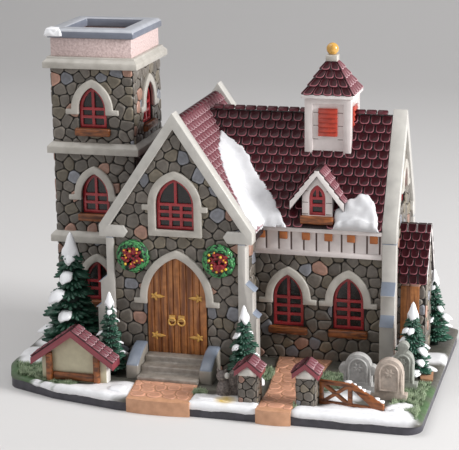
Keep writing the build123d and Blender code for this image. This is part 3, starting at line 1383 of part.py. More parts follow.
def lamp():
    """Socket on a spring clip in the rear wall's hole, and the bulb screwed into it."""
    face = NAVE_REAR + SOCKET_OUT
    mouth = face - SOCKET_LENGTH
    bore = BULB_CAP_RADIUS + SOCKET_BORE_CLEARANCE
    axis = Plane(origin=(LAMP_X, mouth, LAMP_Z), x_dir=(1, 0, 0), z_dir=(0, 1, 0))
    socket = extrude(axis * Circle(SOCKET_RADIUS), SOCKET_LENGTH)
    socket -= extrude(axis * Circle(bore), BULB_CAP_LENGTH + SOCKET_BORE_CLEARANCE)
    socket -= extrude(axis * Circle(CORD_HOLE), SOCKET_LENGTH + 1)
    socket = chamfer(socket.edges().sort_by(Axis.Y)[-2], 1.0)
    reach = sqrt((LAMP_HOLE - CLIP_CLEARANCE) ** 2 - (CLIP_WIDTH / 2) ** 2)
    wall_mid = NAVE_REAR - WALL / 2
    arms = []
    for out in (-1, 1):
        bow = [
            (SOCKET_RADIUS, mouth + 1), (SOCKET_RADIUS, face - 6), (reach - 0.6, face - 4),
            (reach, wall_mid), (SOCKET_RADIUS + CLIP_STRIP + 0.4, mouth + 1),
        ]
        inner = [
            (SOCKET_RADIUS + CLIP_STRIP, mouth + 3), (SOCKET_RADIUS + CLIP_STRIP, face - 6.6),
            (reach - 0.6 - CLIP_STRIP, face - 5.2), (reach - CLIP_STRIP, wall_mid),
        ]
        shape = outline([(LAMP_X + out * u, v) for u, v in bow])
        shape -= outline([(LAMP_X + out * u, v) for u, v in inner])
        arms.append(prism_z(shape, LAMP_Z - CLIP_WIDTH / 2, LAMP_Z + CLIP_WIDTH / 2))
    cylinder = extrude(axis * Circle(SOCKET_RADIUS), SOCKET_LENGTH)
    clip = [arm - cylinder for arm in arms]
    cap = extrude(axis * Circle(BULB_CAP_RADIUS), BULB_CAP_LENGTH)
    glass_line = make_face(
        [
            Line((0, 0), (BULB_NECK, 0)),
            Spline(
                (BULB_NECK, 0), (BULB_RADIUS, BULB_LENGTH * 0.4), (0, BULB_LENGTH),
                tangents=((1, 1), (-1, 0.1)),
            ),
            Line((0, BULB_LENGTH), (0, 0)),
        ]
    )
    glass = revolve(Plane.XZ * glass_line, Axis.Z)
    glass = Pos(LAMP_X, mouth, LAMP_Z) * Rot(90, 0, 0) * glass
    return {"lamp_socket": socket, "lamp_clip": clip, "bulb_cap": cap, "bulb_glass": glass}


def sills():
    """Log sills under every window that has one."""
    beams = [window.sill() for window in tower_windows() + nave_windows()]
    window = dormer_window()
    half = DORMER_HALF + DORMER_SILL_LAP
    foot = window.foot
    beam = Pos(0, foot - DORMER_SILL_DROP / 2) * Rectangle(2 * half, DORMER_SILL_DROP)
    beams.append(on_wall(window.plane, beam, 0, DORMER_SILL_PROUD) - nave_under())
    return beams


def all_pieces():
    """Every node of the chapel, by name."""
    pieces = {"base_plate": base_plate()}
    pieces.update(paths())
    pieces.update(steps())
    pieces["entrance_walls"] = entrance_walls()
    pieces["nave_walls"] = nave_walls()
    pieces["tower_walls"] = tower_walls()
    pieces.update(tower_trim())
    pieces["entrance_roof"] = entrance_roof()
    pieces["nave_roof"] = nave_roof()
    pieces.update(copings())
    pieces.update(eaves_boards())
    pieces.update(buttresses())
    pieces.update(entrance_door())
    pieces["gable_windows"] = [window.frame() for window in gable_windows()]
    pieces["gable_surrounds"] = [window.surround() for window in gable_windows()]
    pieces["tower_windows"] = [window.frame() for window in tower_windows()]
    pieces["nave_windows"] = [window.frame() for window in nave_windows() + [end_window()]]
    pieces["hood_moulds"] = [window.hood() for window in tower_windows() + nave_windows() + [end_window()]]
    pieces["window_sills"] = sills()
    pieces.update(cupola())
    pieces.update(dormer())
    pieces.update(porch())
    pieces.update(snow())
    pieces.update(sign())
    pieces.update(gate_pillars())
    pieces["garden_fence"] = garden_fence()
    pieces["gravestones"] = gravestones()
    pieces["garden_squirrel"] = garden_animal()
    pieces["trees_left"] = [tree(*place) for place in TREES_LEFT]
    pieces["tree_door"] = tree(*TREE_DOOR)
    pieces["trees_right"] = [tree(*place) for place in TREES_RIGHT]
    pieces.update(lamp())
    add_rocks(pieces)
    return pieces


for name, shape in all_pieces().items():
    if isinstance(shape, list):
        shape = Compound(children=[solid for item in shape for solid in item.solids()])
    export_step(shape, f"parts/{name}.step")
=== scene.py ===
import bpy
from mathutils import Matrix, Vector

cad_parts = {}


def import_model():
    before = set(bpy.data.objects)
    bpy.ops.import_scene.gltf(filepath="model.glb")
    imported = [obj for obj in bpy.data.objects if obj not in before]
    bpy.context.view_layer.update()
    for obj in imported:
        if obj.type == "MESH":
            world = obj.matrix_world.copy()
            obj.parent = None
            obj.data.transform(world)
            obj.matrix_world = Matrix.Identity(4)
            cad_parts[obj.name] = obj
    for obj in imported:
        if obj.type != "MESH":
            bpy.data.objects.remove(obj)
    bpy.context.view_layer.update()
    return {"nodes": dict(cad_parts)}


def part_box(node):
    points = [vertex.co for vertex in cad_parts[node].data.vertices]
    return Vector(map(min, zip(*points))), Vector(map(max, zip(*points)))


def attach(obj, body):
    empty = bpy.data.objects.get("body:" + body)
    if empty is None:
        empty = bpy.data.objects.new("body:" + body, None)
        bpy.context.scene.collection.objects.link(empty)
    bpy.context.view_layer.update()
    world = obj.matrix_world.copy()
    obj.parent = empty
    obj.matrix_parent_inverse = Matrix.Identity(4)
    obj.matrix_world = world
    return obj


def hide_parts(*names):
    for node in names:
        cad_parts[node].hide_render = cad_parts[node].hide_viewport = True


bl_info = {
    "name": "Village chapel",
    "version": (1, 0, 0),
    "blender": (4, 5, 0),
    "location": "View3D > Sidebar > Chapel",
    "description": "Glazed stones, tiles, snow and garden of a lighted ceramic chapel",
    "category": "Object",
}

import math
import random

import bmesh
import bpy
from mathutils import Matrix, Quaternion, Vector, noise

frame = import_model()
MM = 0.001

# Main places of the part, in millimetres
GROUND = 6.5
ENTRANCE_X = -22.9
ENTRANCE_HALF = 36.0
ENTRANCE_FRONT = -27.0
ENTRANCE_REAR = 67.3
ENTRANCE_HEAD = 89.28
ENTRANCE_APEX = 142.2
ENTRANCE_RIDGE = 147.0
ENTRANCE_PITCH = 1.47
ENTRANCE_TILED = (-21.6, 61.9)
NAVE_LEFT = 13.1
NAVE_RIGHT = 90.3
NAVE_FRONT = 4.0
NAVE_REAR = 61.0
NAVE_HALF = 28.5
NAVE_RIDGE_Y = 32.5
NAVE_HEAD = 84.855
NAVE_APEX = 135.3
NAVE_RIDGE = 144.2
NAVE_PITCH = 1.77
NAVE_TILED = 84.9
NAVE_COPING = 84.8
EAVES = 68.3
TOWER_LEFT = -106.9
TOWER_RIGHT = -58.9
TOWER_FRONT = 14.7
TOWER_REAR = 64.7
TOWER_X = -82.9
TOWER_Y = 39.7
TOWER_TOP = 165.55
DORMER_X = 48.9
DORMER_FACE = 0.8
DORMER_RIDGE = 118.3
DORMER_PITCH = 1.28
DORMER_START = -0.6
CUPOLA_X = 50.8
CUPOLA_HALF = 12.25
PORCH_Y = 26.0
PORCH_HALF = 9.5
PORCH_END = 106.3
PORCH_HEAD = 61.0
PORCH_APEX = 80.5
PORCH_SPAN = 14.0
PORCH_TILED = (89.0, 108.2)
LAMP_X = 64.0
LAMP_Z = 27.0
LAMP_HOLE = 13.5
PILLARS = ((27.0, -64.3), (57.0, -61.7))
PILLAR_HALF = 4.8
PILLAR_TILED = (-6.0, 6.0)
SIGN_X = -72.5
SIGN_ENDS = (-62.2, -50.3)
WREATHS = (24.2, 71.0)
SQUIRREL = (10.7, -59.9)
TREES = {
    "trees_left": ((-87.5, -17.0, 72.0, 18.5), (-57.2, -40.8, 47.0, 9.4)),
    "tree_door": ((18.5, -42.0, 45.0, 10.5),),
    "trees_right": ((103.6, -9.0, 42.5, 11.0), (107.2, 46.0, 45.0, 10.2)),
}

# Openings as facing, place along the wall, wall face, foot, and half width, jamb and arch radius
TOWER_WINDOW = (8.0, 10.8, 13.9)
NAVE_WINDOW = (8.6, 16.2, 15.4)
GABLE_WINDOW = (10.7, 13.6, 15.2)
DOORWAY = ("front", ENTRANCE_X, ENTRANCE_FRONT, 16.7, (16.6, 30.8, 25.1))
DORMER_WINDOW = ("front", DORMER_X, DORMER_FACE, 91.4, (4.5, 9.5, 8.4))
WINDOWS = (
    *(("front", TOWER_X, TOWER_FRONT, foot, TOWER_WINDOW) for foot in (30.2, 82.0, 131.8)),
    *(("left", TOWER_Y, TOWER_LEFT, foot, TOWER_WINDOW) for foot in (82.0, 131.8)),
    ("right", TOWER_Y, TOWER_RIGHT, 131.8, TOWER_WINDOW),
    ("rear", TOWER_X, TOWER_REAR, 131.8, TOWER_WINDOW),
    *(("front", along, NAVE_FRONT, 26.4, NAVE_WINDOW) for along in (32.0, 65.9)),
    ("rear", 31.0, NAVE_REAR, 26.4, NAVE_WINDOW),
    ("right", NAVE_RIDGE_Y, NAVE_RIGHT, 93.0, (6.0, 11.0, 10.6)),
    ("front", ENTRANCE_X, ENTRANCE_FRONT, 86.8, GABLE_WINDOW),
    ("rear", ENTRANCE_X, ENTRANCE_REAR, 86.8, GABLE_WINDOW),
)
FACINGS = {
    "front": (Vector((1, 0, 0)), Vector((0, -1, 0))),
    "rear": (Vector((-1, 0, 0)), Vector((0, 1, 0))),
    "right": (Vector((0, 1, 0)), Vector((1, 0, 0))),
    "left": (Vector((0, -1, 0)), Vector((-1, 0, 0))),
}
RIGHT, BACK, UP = Vector((1, 0, 0)), Vector((0, 1, 0)), Vector((0, 0, 1))


def colour(text):
    """Linear colour of a six-figure screen colour."""
    parts = [int(text[i : i + 2], 16) / 255 for i in (0, 2, 4)]
    return tuple(p / 12.92 if p <= 0.04045 else ((p + 0.055) / 1.055) ** 2.4 for p in parts)


# Settings
def length(name, note, value):
    """Setting for a length, given in millimetres."""
    return bpy.props.FloatProperty(name=name, description=note, default=value * MM, unit="LENGTH")


def paint(name, note, value):
    """Setting for a colour."""
    return bpy.props.FloatVectorProperty(
        name=name, description=note, default=colour(value), subtype="COLOR"
    )


class StoneSettings(bpy.types.PropertyGroup):
    """Sizes and colours of the wall stones."""

    width: length("Stone width", "Usual width of one stone", 7.2)
    height: length("Stone height", "Usual height of one stone", 6.2)
    joint: length("Joint", "Width of the mortar between stones", 0.3)
    proud: length("Proud", "How far a stone stands out of the wall", 0.8)
    grey: paint("Stone colour", "Colour of most stones", "726b63")
    mortar: paint("Mortar colour", "Colour between stones", "24231f")


class RoofSettings(bpy.types.PropertyGroup):
    """Colours of the tiles and of the snow."""

    tile: paint("Tile colour", "Colour of the tile glaze", "3c0f17")
    worn: paint("Tile edge", "Colour along a tile's edge", "c07a84")
    # Painted light: how much paler the tiles are painted on slopes that face the key light on the right
    brush: bpy.props.FloatProperty(
        name="Painted light", description="How pale the tiles are on slopes that face right", default=0.35
    )
    snow: paint("Snow colour", "Colour of the snow glaze", "f8f8fa")


class GardenSettings(bpy.types.PropertyGroup):
    """Planting of the garden base."""

    tufts: bpy.props.IntProperty(name="Grass tufts", description="Tufts planted on the base", default=2200)
    tiers: bpy.props.IntProperty(name="Tiers", description="Rings of boughs on one tree", default=6)
    # Painted shade deep in a bough and painted highlight at its tip
    needle: paint("Needle colour", "Colour deep in a bough", "0a211a")
    tip: paint("Tip colour", "Colour at a bough's tip", "316650")
    grass: paint("Grass colour", "Colour of the grass", "45653f")


SETTINGS = {"chapel_stones": StoneSettings, "chapel_roof": RoofSettings, "chapel_garden": GardenSettings}


def snow_colour():
    """Colour of clean snow."""
    return Vector(bpy.context.scene.chapel_roof.snow)


# Meshes
def arc(steps, sweep=math.tau):
    """Points of an arc of radius 1 with both its ends; a whole turn leaves out the second."""
    count = steps if sweep == math.tau else steps + 1
    return [(math.cos(sweep * i / steps), math.sin(sweep * i / steps)) for i in range(count)]


def smoothed(mesh, smooth=True):
    """Shades every face of a mesh smooth or flat."""
    mesh.polygons.foreach_set("use_smooth", [smooth] * len(mesh.polygons))
    return mesh


def tinted(mesh, domain, tints):
    """Stores a colour on every point or corner of a mesh."""
    layer = mesh.attributes.new("tint", "FLOAT_COLOR", domain)
    layer.data.foreach_set("color", [c for tint in tints for c in (*tint[:3], 1.0)])


class Skin:
    """Points in millimetres, faces and colours on their way to a mesh."""

    def __init__(self):
        self.points, self.faces, self.tints = [], [], []

    def add(self, rings, tints=(), closed=True):
        """Adds rings of points, all of one count, joined into a skin; closed adds both end faces."""
        first, count = len(self.points), len(rings[0])
        for ring in rings:
            self.points += ring
        self.tints += tints
        for level in range(len(rings) - 1):
            start = first + level * count
            for i in range(count):
                a, b = start + i, start + (i + 1) % count
                self.faces.append((a, b, b + count, a + count))
        if closed:
            last = len(self.points) - count
            self.faces.append(tuple(reversed(range(first, first + count))))
            self.faces.append(tuple(range(last, last + count)))

    def wash(self, tint):
        """Gives one colour to the points that have none yet."""
        self.tints += [tuple(tint)] * (len(self.points) - len(self.tints))

    def mesh(self, name, smooth=True):
        """Mesh of the skin, its faces turned outwards."""
        mesh = bpy.data.meshes.new(name)
        mesh.from_pydata([Vector(p) * MM for p in self.points], [], self.faces)
        shape = bmesh.new()
        shape.from_mesh(mesh)
        bmesh.ops.recalc_face_normals(shape, faces=shape.faces)
        shape.to_mesh(mesh)
        shape.free()
        if self.tints:
            tinted(mesh, "POINT", self.tints)
        smoothed(mesh, smooth).update()
        return mesh

    def show(self, name, finish_name, slot, replaces=(), smooth=True):
        """Shows the skin as a piece."""
        new_piece(name, self.mesh(name, smooth), finish_name, slot, replaces)


def new_piece(name, mesh, finish_name, slot, replaces=()):
    """Shows a mesh as a piece that moves with the house."""
    piece = loose(name, mesh)
    mesh.materials.clear()
    mesh.materials.append(finish(finish_name))
    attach(piece, "house")
    if replaces:
        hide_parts(*replaces)


def loose(name, mesh):
    """Object of a mesh in the scene."""
    piece = bpy.data.objects.new(name, mesh)
    bpy.context.scene.collection.objects.link(piece)
    return piece


def evaluated(piece, name):
    """Plain mesh of an object with its modifiers worked in; the object is removed."""
    bpy.context.view_layer.update()
    graph = bpy.context.evaluated_depsgraph_get()
    mesh = bpy.data.meshes.new_from_object(piece.evaluated_get(graph))
    mesh.name = name
    bpy.data.objects.remove(piece)
    return mesh


def modified(mesh, name, kind, **values):
    """Plain mesh of a mesh with one modifier worked in."""
    piece = loose(name, mesh)
    modifier = piece.modifiers.new(name, kind)
    for key, value in values.items():
        setattr(modifier, key, value)
    return evaluated(piece, name)


WELD = 0.002


def merged_copy(node, low=None, high=None):
    """Copy of a CAD node's mesh with whole flat faces, kept between two limits across where given."""
    mesh = frame["nodes"][node].data.copy()
    normals = mesh.attributes.get("custom_normal")
    if normals is not None:
        mesh.attributes.remove(normals)
    shape = bmesh.new()
    shape.from_mesh(mesh)
    if low is not None:
        for vert in shape.verts:
            for axis in range(2):
                vert.co[axis] = min(max(vert.co[axis], low[axis] * MM), high[axis] * MM)
    bmesh.ops.remove_doubles(shape, verts=shape.verts, dist=WELD * MM)
    if low is None:
        flat = math.radians(1.5)
        bmesh.ops.dissolve_limit(shape, angle_limit=flat, verts=shape.verts, edges=shape.edges)
    else:
        bmesh.ops.dissolve_degenerate(shape, edges=shape.edges, dist=WELD * MM)
    shape.to_mesh(mesh)
    shape.free()
    return mesh


def softened(node, width, finish_name, slot, tint=None):
    """Replaces a CAD node by the same shape with rounded edges, as under a coat of glaze."""
    mesh = modified(
        merged_copy(node), node + "_glazed", "BEVEL", width=width * MM, segments=2, limit_method="ANGLE",
        angle_limit=math.radians(35), use_clamp_overlap=True,
    )
    smoothed(mesh).set_sharp_from_angle(angle=math.radians(50))
    if tint is not None:
        shades = []
        for face in mesh.polygons:
            shades += [tint(face.normal, face.center / MM)] * face.loop_total
        tinted(mesh, "CORNER", shades)
    new_piece(node + "_glazed", mesh, finish_name, slot, (node,))


def melted(node, voxel, rounds, rough, finish_name, slot, seed, tint=None):
    """Replaces a CAD node by a smooth swelling form, as snow lies."""
    name = node + "_form"
    mesh = modified(merged_copy(node), name, "REMESH", mode="VOXEL", voxel_size=voxel * MM)
    shift = Vector((seed * 3.1, seed * 1.7, 0))
    for vert in mesh.vertices:
        spot = vert.co / MM / 5.0 + shift
        vert.co += vert.normal * (noise.noise(spot) + 0.3) * rough * MM
    mesh = smoothed(modified(mesh, name, "SMOOTH", factor=0.5, iterations=rounds))
    if tint is not None:
        tinted(mesh, "POINT", [tint(vert.co / MM) for vert in mesh.vertices])
    new_piece(name, mesh, finish_name, slot, (node,))


# Node trees
def wired(tree, nodes):
    """Adds nodes, each as its kind and its values; a pair of names joins the output of an earlier node."""
    made = {node.name: node for node in tree.nodes}
    for name, (kind, values) in nodes.items():
        node = made[name] if kind is None else tree.nodes.new(kind)
        made[name] = node
        for key, value in values.items():
            socket = node.inputs.get(key) if isinstance(key, str) else node.inputs[key]
            if socket is None:
                setattr(node, key, value)
            elif isinstance(value, tuple) and isinstance(value[0], str):
                tree.links.new(made[value[0]].outputs[value[1]], socket)
            else:
                socket.default_value = value


def node_group(name, kind, inputs, outputs, nodes):
    """Node group by name, made when it is first asked for."""
    tree = bpy.data.node_groups.get(name)
    if tree is None:
        tree = bpy.data.node_groups.new(name, kind)
        for side, sockets in (("INPUT", inputs), ("OUTPUT", outputs)):
            for socket, value in sockets.items():
                tree.interface.new_socket(socket, in_out=side, socket_type="NodeSocket" + value)
        wired(tree, {"start": ("NodeGroupInput", {}), **nodes})
    return tree


def setting_tree():
    """Geometry nodes that set one shape on every point, each turned, sized and shaded by itself."""
    named, chance = "GeometryNodeInputNamedAttribute", "FunctionNodeRandomValue"
    seed = ("start", "Seed")
    sizes = {"Min": ("start", "Least size"), "Max": ("start", "Most size"), "Seed": seed}
    placing = {
        "Points": ("start", "Geometry"), "Instance": ("shape", "Geometry"),
        "Rotation": ("turn", "Attribute"), "Scale": ("grow", "Vector"),
    }
    keeping = {
        "data_type": "FLOAT", "domain": "INSTANCE", "Name": "shade", "Geometry": ("place", "Instances"),
        "Value": ("shade", "Value"),
    }
    return node_group(
        "set_on_points", "GeometryNodeTree",
        {
            "Geometry": "Geometry", "Shape": "Object", "Least size": "Float", "Most size": "Float",
            "Seed": "Int",
        },
        {"Geometry": "Geometry"},
        {
            "shape": ("GeometryNodeObjectInfo", {"Object": ("start", "Shape")}),
            "turn": (named, {"data_type": "QUATERNION", "Name": "turn"}),
            "size": (named, {"data_type": "FLOAT_VECTOR", "Name": "size"}),
            "vary": (chance, {"data_type": "FLOAT", **sizes}),
            "grow": (
                "ShaderNodeVectorMath",
                {"operation": "SCALE", 0: ("size", "Attribute"), "Scale": ("vary", "Value")},
            ),
            "place": ("GeometryNodeInstanceOnPoints", placing),
            "shade": (chance, {"data_type": "FLOAT", "Seed": seed}),
            "keep": ("GeometryNodeStoreNamedAttribute", keeping),
            "real": ("GeometryNodeRealizeInstances", {"Geometry": ("keep", "Geometry")}),
            "end": ("NodeGroupOutput", {"Geometry": ("real", "Geometry")}),
        },
    )


def scattered(name, places, shape, finish_name, slot, sizes=(1.0, 1.0), seed=1):
    """Shows a shape set on places, each a point in millimetres, a turn and a size."""
    mesh = bpy.data.meshes.new(name)
    mesh.from_pydata([Vector(place[0]) * MM for place in places], [], [])
    layers = ((1, "turn", "QUATERNION", "value"), (2, "size", "FLOAT_VECTOR", "vector"))
    for part, key, kind, field in layers:
        layer = mesh.attributes.new(key, kind, "POINT")
        layer.data.foreach_set(field, [v for place in places for v in place[part]])
    pattern = loose(name + "_pattern", shape)
    piece = loose(name + "_points", mesh)
    modifier = piece.modifiers.new("set", "NODES")
    modifier.node_group = setting_tree()
    values = {"Shape": pattern, "Least size": sizes[0], "Most size": sizes[1], "Seed": seed}
    for item in modifier.node_group.interface.items_tree:
        if item.in_out == "INPUT" and item.name in values:
            modifier[item.identifier] = values[item.name]
    new_piece(name, evaluated(piece, name), finish_name, slot)
    bpy.data.objects.remove(pattern)


def turned(along, normal):
    """Turn that lays local x along one direction and local z along another."""
    z = normal.normalized()
    x = (along - z * along.dot(z)).normalized()
    return Matrix((x, z.cross(x), z)).transposed().to_quaternion()


# Materials
SHADER = "Principled BSDF"
NOISE = "ShaderNodeTexNoise"
RANGE = "ShaderNodeMapRange"
MATH = "ShaderNodeMath"
WHERE = {"where": ("ShaderNodeTexCoord", {})}


def uneven_paint():
    """Two colours mixed by cloudy noise, with fine grain for bump and gloss."""
    spot = ("where", "Object")
    parts = {"Color": ("mix", "Result"), "Height": ("height", "Value"), "Mask": ("mask", "Result")}
    return node_group(
        "uneven_paint", "ShaderNodeTree",
        {"Base": "Color", "Shade": "Color", "Scale": "Float", "Amount": "Float", "Grain scale": "Float"},
        {"Color": "Color", "Height": "Float", "Mask": "Float"},
        {
            **WHERE,
            "cloud": (NOISE, {"Vector": spot, "Scale": ("start", "Scale"), "Detail": 6.0}),
            "grain": (NOISE, {"Vector": spot, "Scale": ("start", "Grain scale"), "Detail": 3.0}),
            "mask": (RANGE, {"Value": ("cloud", "Fac"), "From Min": 0.35, "From Max": 0.7}),
            "much": (MATH, {"operation": "MULTIPLY", 0: ("mask", "Result"), 1: ("start", "Amount")}),
            "mix": mix(("much", "Value"), ("start", "Base"), ("start", "Shade")),
            "height": (
                MATH, {"operation": "MULTIPLY_ADD", 0: ("grain", "Fac"), 1: 0.4, 2: ("cloud", "Fac")},
            ),
            "end": ("NodeGroupOutput", parts),
        },
    )


def mix(share, first, second, **settings):
    """Node that mixes two colours."""
    return "ShaderNodeMix", {"data_type": "RGBA", **settings, "Factor": share, "A": first, "B": second}


def material_of(name, nodes):
    """Material with the nodes given."""
    material = bpy.data.materials.new(name)
    material.use_nodes = True
    wired(material.node_tree, nodes)
    return material


def painted(
    name, base, shade, scale=300.0, amount=0.6, rough=0.35, bump=0.15, coat=0.25, grain=2500.0, source=None,
    shine=0.5,
):
    """Glazed paint. Source names a mesh colour or says how wood grain is drawn out along each axis."""
    base, shade = (*base, 1), (*shade, 1)
    nodes, light, dark, height = {}, base, shade, ("paint", "Height")
    if source in ("tint", "shade"):
        nodes["mesh"] = ("ShaderNodeAttribute", {"attribute_name": source})
    if source == "tint":
        light, dark = ("mesh", "Color"), ("darker", "Result")
        nodes["darker"] = mix(1.0, light, shade, blend_type="MULTIPLY")
    elif source == "shade":
        nodes["blend"] = mix(("mesh", "Fac"), base, shade)
        light = ("blend", "Result")
    elif source is not None:
        veins = {"Vector": ("drawn", "Vector"), "Scale": 620.0, "Detail": 5.0, "Distortion": 0.6}
        nodes |= {
            **WHERE,
            "drawn": ("ShaderNodeMapping", {"Vector": ("where", "Object"), "Scale": source}),
            "veins": (NOISE, veins),
            "ramp": (RANGE, {"Value": ("veins", "Fac"), "From Min": 0.36, "From Max": 0.56}),
            "wood": mix(("ramp", "Result"), shade, base),
        }
        light, height = ("wood", "Result"), ("veins", "Fac")
    uneven = {"Base": light, "Shade": dark, "Scale": scale, "Amount": amount, "Grain scale": grain}
    nodes |= {
        "paint": ("ShaderNodeGroup", {"node_tree": uneven_paint(), **uneven}),
        "gloss": (RANGE, {"Value": ("paint", "Mask"), "To Min": rough - 0.08, "To Max": rough + 0.12}),
        "relief": ("ShaderNodeBump", {"Strength": bump, "Distance": 0.4 * MM, "Height": height}),
        SHADER: (
            None,
            {
                "Base Color": ("paint", "Color"), "Roughness": ("gloss", "Result"),
                "Normal": ("relief", "Normal"), "Specular IOR Level": shine, "Coat Weight": coat,
                "Coat Roughness": 0.15,
            },
        ),
    }
    return material_of(name, nodes)


def plain(name, base, rough, metallic=0.0, transmission=0.0):
    """Even finish for the lamp's own pieces, with a little unevenness in its gloss."""
    low = max(0.02, rough - 0.05)
    values = {"Base Color": (*base, 1), "Metallic": metallic, "Transmission Weight": transmission}
    nodes = {
        **WHERE,
        "spots": (NOISE, {"Vector": ("where", "Object"), "Scale": 900.0}),
        "gloss": (RANGE, {"Value": ("spots", "Fac"), "To Min": low, "To Max": rough + 0.08}),
        SHADER: (None, {**values, "Roughness": ("gloss", "Result")}),
    }
    return material_of(name, nodes)


# Each finish as maker, colours, pattern scale and amount, gloss, relief, coat, grain, colour source, shine
GREY = (0.2, 0.2, 0.2)
TABLE = {
    "stone": (painted, GREY, (0.62, 0.61, 0.58), 420, 0.7, 0.42, 0.3, 0.12, 2500, "tint"),
    "mortar": (painted, GREY, colour("131210"), 500, 0.7, 0.7, 0.4, 0.0),
    "trim": (painted, colour("c3beb5"), colour("9b958b"), 160, 0.5, 0.38, 0.12),
    "coping": (painted, colour("cbc8c1"), colour("a9a6a1"), 160, 0.5, 0.36, 0.12),
    "slate": (painted, GREY, (0.74, 0.74, 0.76), 160, 0.5, 0.36, 0.12, 0.25, 2500, "tint"),
    "parapet": (painted, colour("e0cac6"), colour("b79e9a"), 900, 0.8, 0.5, 0.9, 0.05, 1500),
    "boards": (painted, GREY, (0.8, 0.78, 0.77), 220, 0.5, 0.36, 0.1, 0.25, 2500, "tint"),
    "corbel": (painted, colour("b5672b"), colour("7d4218"), 220, 0.5, 0.4, 0.1),
    "tile": (painted, GREY, (0.62, 0.55, 0.55), 260, 0.5, 0.34, 0.1, 0.15, 2500, "tint", 0.12),
    "tile_bed": (painted, colour("1f090c"), colour("120507"), 260, 0.6, 0.5, 0.2, 0.0),
    "edged": (painted, GREY, (0.75, 0.72, 0.72), 260, 0.5, 0.36, 0.12, 0.25, 2500, "tint"),
    "red": (painted, colour("b5343a"), colour("761c20"), 300, 0.6, 0.32, 0.1, 0.35),
    "louvre": (painted, colour("bf4430"), colour("7f2217"), 300, 0.6, 0.34, 0.1),
    "log": (painted, colour("a05c2a"), colour("532a11"), 300, 0.6, 0.42, 0.6, 0.2, 2500, (0.15, 1.0, 1.0)),
    "door": (painted, colour("bb7a44"), colour("6b3a18"), 300, 0.6, 0.42, 0.6, 0.2, 2500, (1.0, 1.0, 0.05)),
    "gold": (painted, colour("dcaa52"), colour("94662a"), 400, 0.6, 0.25, 0.1, 0.4),
    "needle": (painted, GREY, (0.6, 0.65, 0.62), 700, 0.6, 0.42, 0.3, 0.2, 2500, "tint"),
    "leaf": (painted, colour("14573a"), colour("4c9a58"), 500, 0.3, 0.36, 0.2, 0.25, 2500, "shade"),
    # Painted shade: near-black green for the tree cores and the wreath bodies under the leaves
    "core": (painted, colour("0c231b"), colour("06100c"), 500, 0.6, 0.6, 0.3, 0.0),
    "grass": (painted, GREY, colour("a9b896"), 500, 0.4, 0.5, 0.2, 0.1, 2500, "shade"),
    "snow": (painted, GREY, (0.92, 0.93, 0.95), 150, 0.5, 0.32, 0.12, 0.35, 1500, "tint"),
    "ground": (painted, GREY, (0.84, 0.84, 0.84), 350, 0.5, 0.48, 0.4, 0.1, 2500, "tint"),
    "grave": (painted, GREY, (0.6, 0.6, 0.6), 420, 0.7, 0.5, 0.5, 0.1, 2500, "tint"),
    "rim": (painted, colour("45434b"), colour("29282e"), 250, 0.6, 0.42, 0.3, 0.15),
    "paving": (painted, GREY, (0.78, 0.72, 0.68), 350, 0.5, 0.42, 0.3, 0.15, 2500, "tint"),
    "joint": (painted, colour("d6a27f"), colour("ad7d5c"), 250, 0.5, 0.45, 0.2, 0.15),
    "step": (painted, colour("a39a90"), colour("6f675f"), 350, 0.6, 0.42, 0.3, 0.15),
    "fur": (painted, colour("857b76"), colour("3a3535"), 900, 0.9, 0.55, 0.8, 0.05),
    "berry": (painted, colour("d8862a"), colour("e3bd3c"), 300, 0.3, 0.25, 0.05, 0.4, 2500, "shade"),
    "ribbon": (painted, colour("9e2430"), colour("5d1119"), 300, 0.5, 0.3, 0.1, 0.3),
    # Painted shade: dark glossy sheet behind the windows
    "film": (painted, colour("161210"), colour("0a0807"), 200, 0.5, 0.22, 0.05, 0.4),
    "plastic": (plain, colour("ece8dd"), 0.45),
    "steel": (plain, colour("b9bcc0"), 0.3, 1.0),
    "brass": (plain, colour("d2ac5e"), 0.25, 1.0),
    "glass": (plain, colour("fbf8ee"), 0.05, 0.0, 1.0),
}
FINISHES = {}


def finish(name):
    """A finish by name, made when it is first asked for."""
    if name not in FINISHES:
        maker, *values = TABLE[name]
        if name == "mortar":
            values[0] = tuple(bpy.context.scene.chapel_stones.mortar)
        if name == "grass":
            values[0] = tuple(bpy.context.scene.chapel_garden.grass)
        FINISHES[name] = maker(name + "_finish", *values)
    return FINISHES[name]


def dressed(finish_name, *nodes):
    """Gives CAD nodes a finish as they are."""
    for node in nodes:
        materials = frame["nodes"][node].data.materials
        materials.clear()
        materials.append(finish(finish_name))


def two_coloured(test, first, other):
    """Rule that gives a face one of two colours by its normal and its middle."""
    first, other = colour(first), colour(other)
    return lambda normal, centre: first if test(normal, centre) else other


# Drawing on walls
def arch_points(half, foot, spring, radius):
    """Outline of a pointed arch, anticlockwise."""
    centre = half - radius
    rise = math.sqrt(radius**2 - centre**2)
    right = [(half, foot)]
    right += [(centre + radius * c, spring + radius * s) for c, s in arc(8, math.atan2(rise, -centre))]
    return right + [(-u, v) for u, v in reversed(right[:-1])]


def clipped(points, nu, nv, limit):
    """The part of a convex outline on the low side of a line."""
    kept = []
    for i, (u, v) in enumerate(points):
        pu, pv = points[i - 1]
        before = pu * nu + pv * nv - limit
        now = u * nu + v * nv - limit
        if (before < 0) != (now < 0):
            share = before / (before - now)
            kept.append((pu + (u - pu) * share, pv + (v - pv) * share))
        if now < 0:
            kept.append((u, v))
    return kept


def middle_of(points):
    """Mean of an outline's points."""
    return sum(p[0] for p in points) / len(points), sum(p[1] for p in points) / len(points)


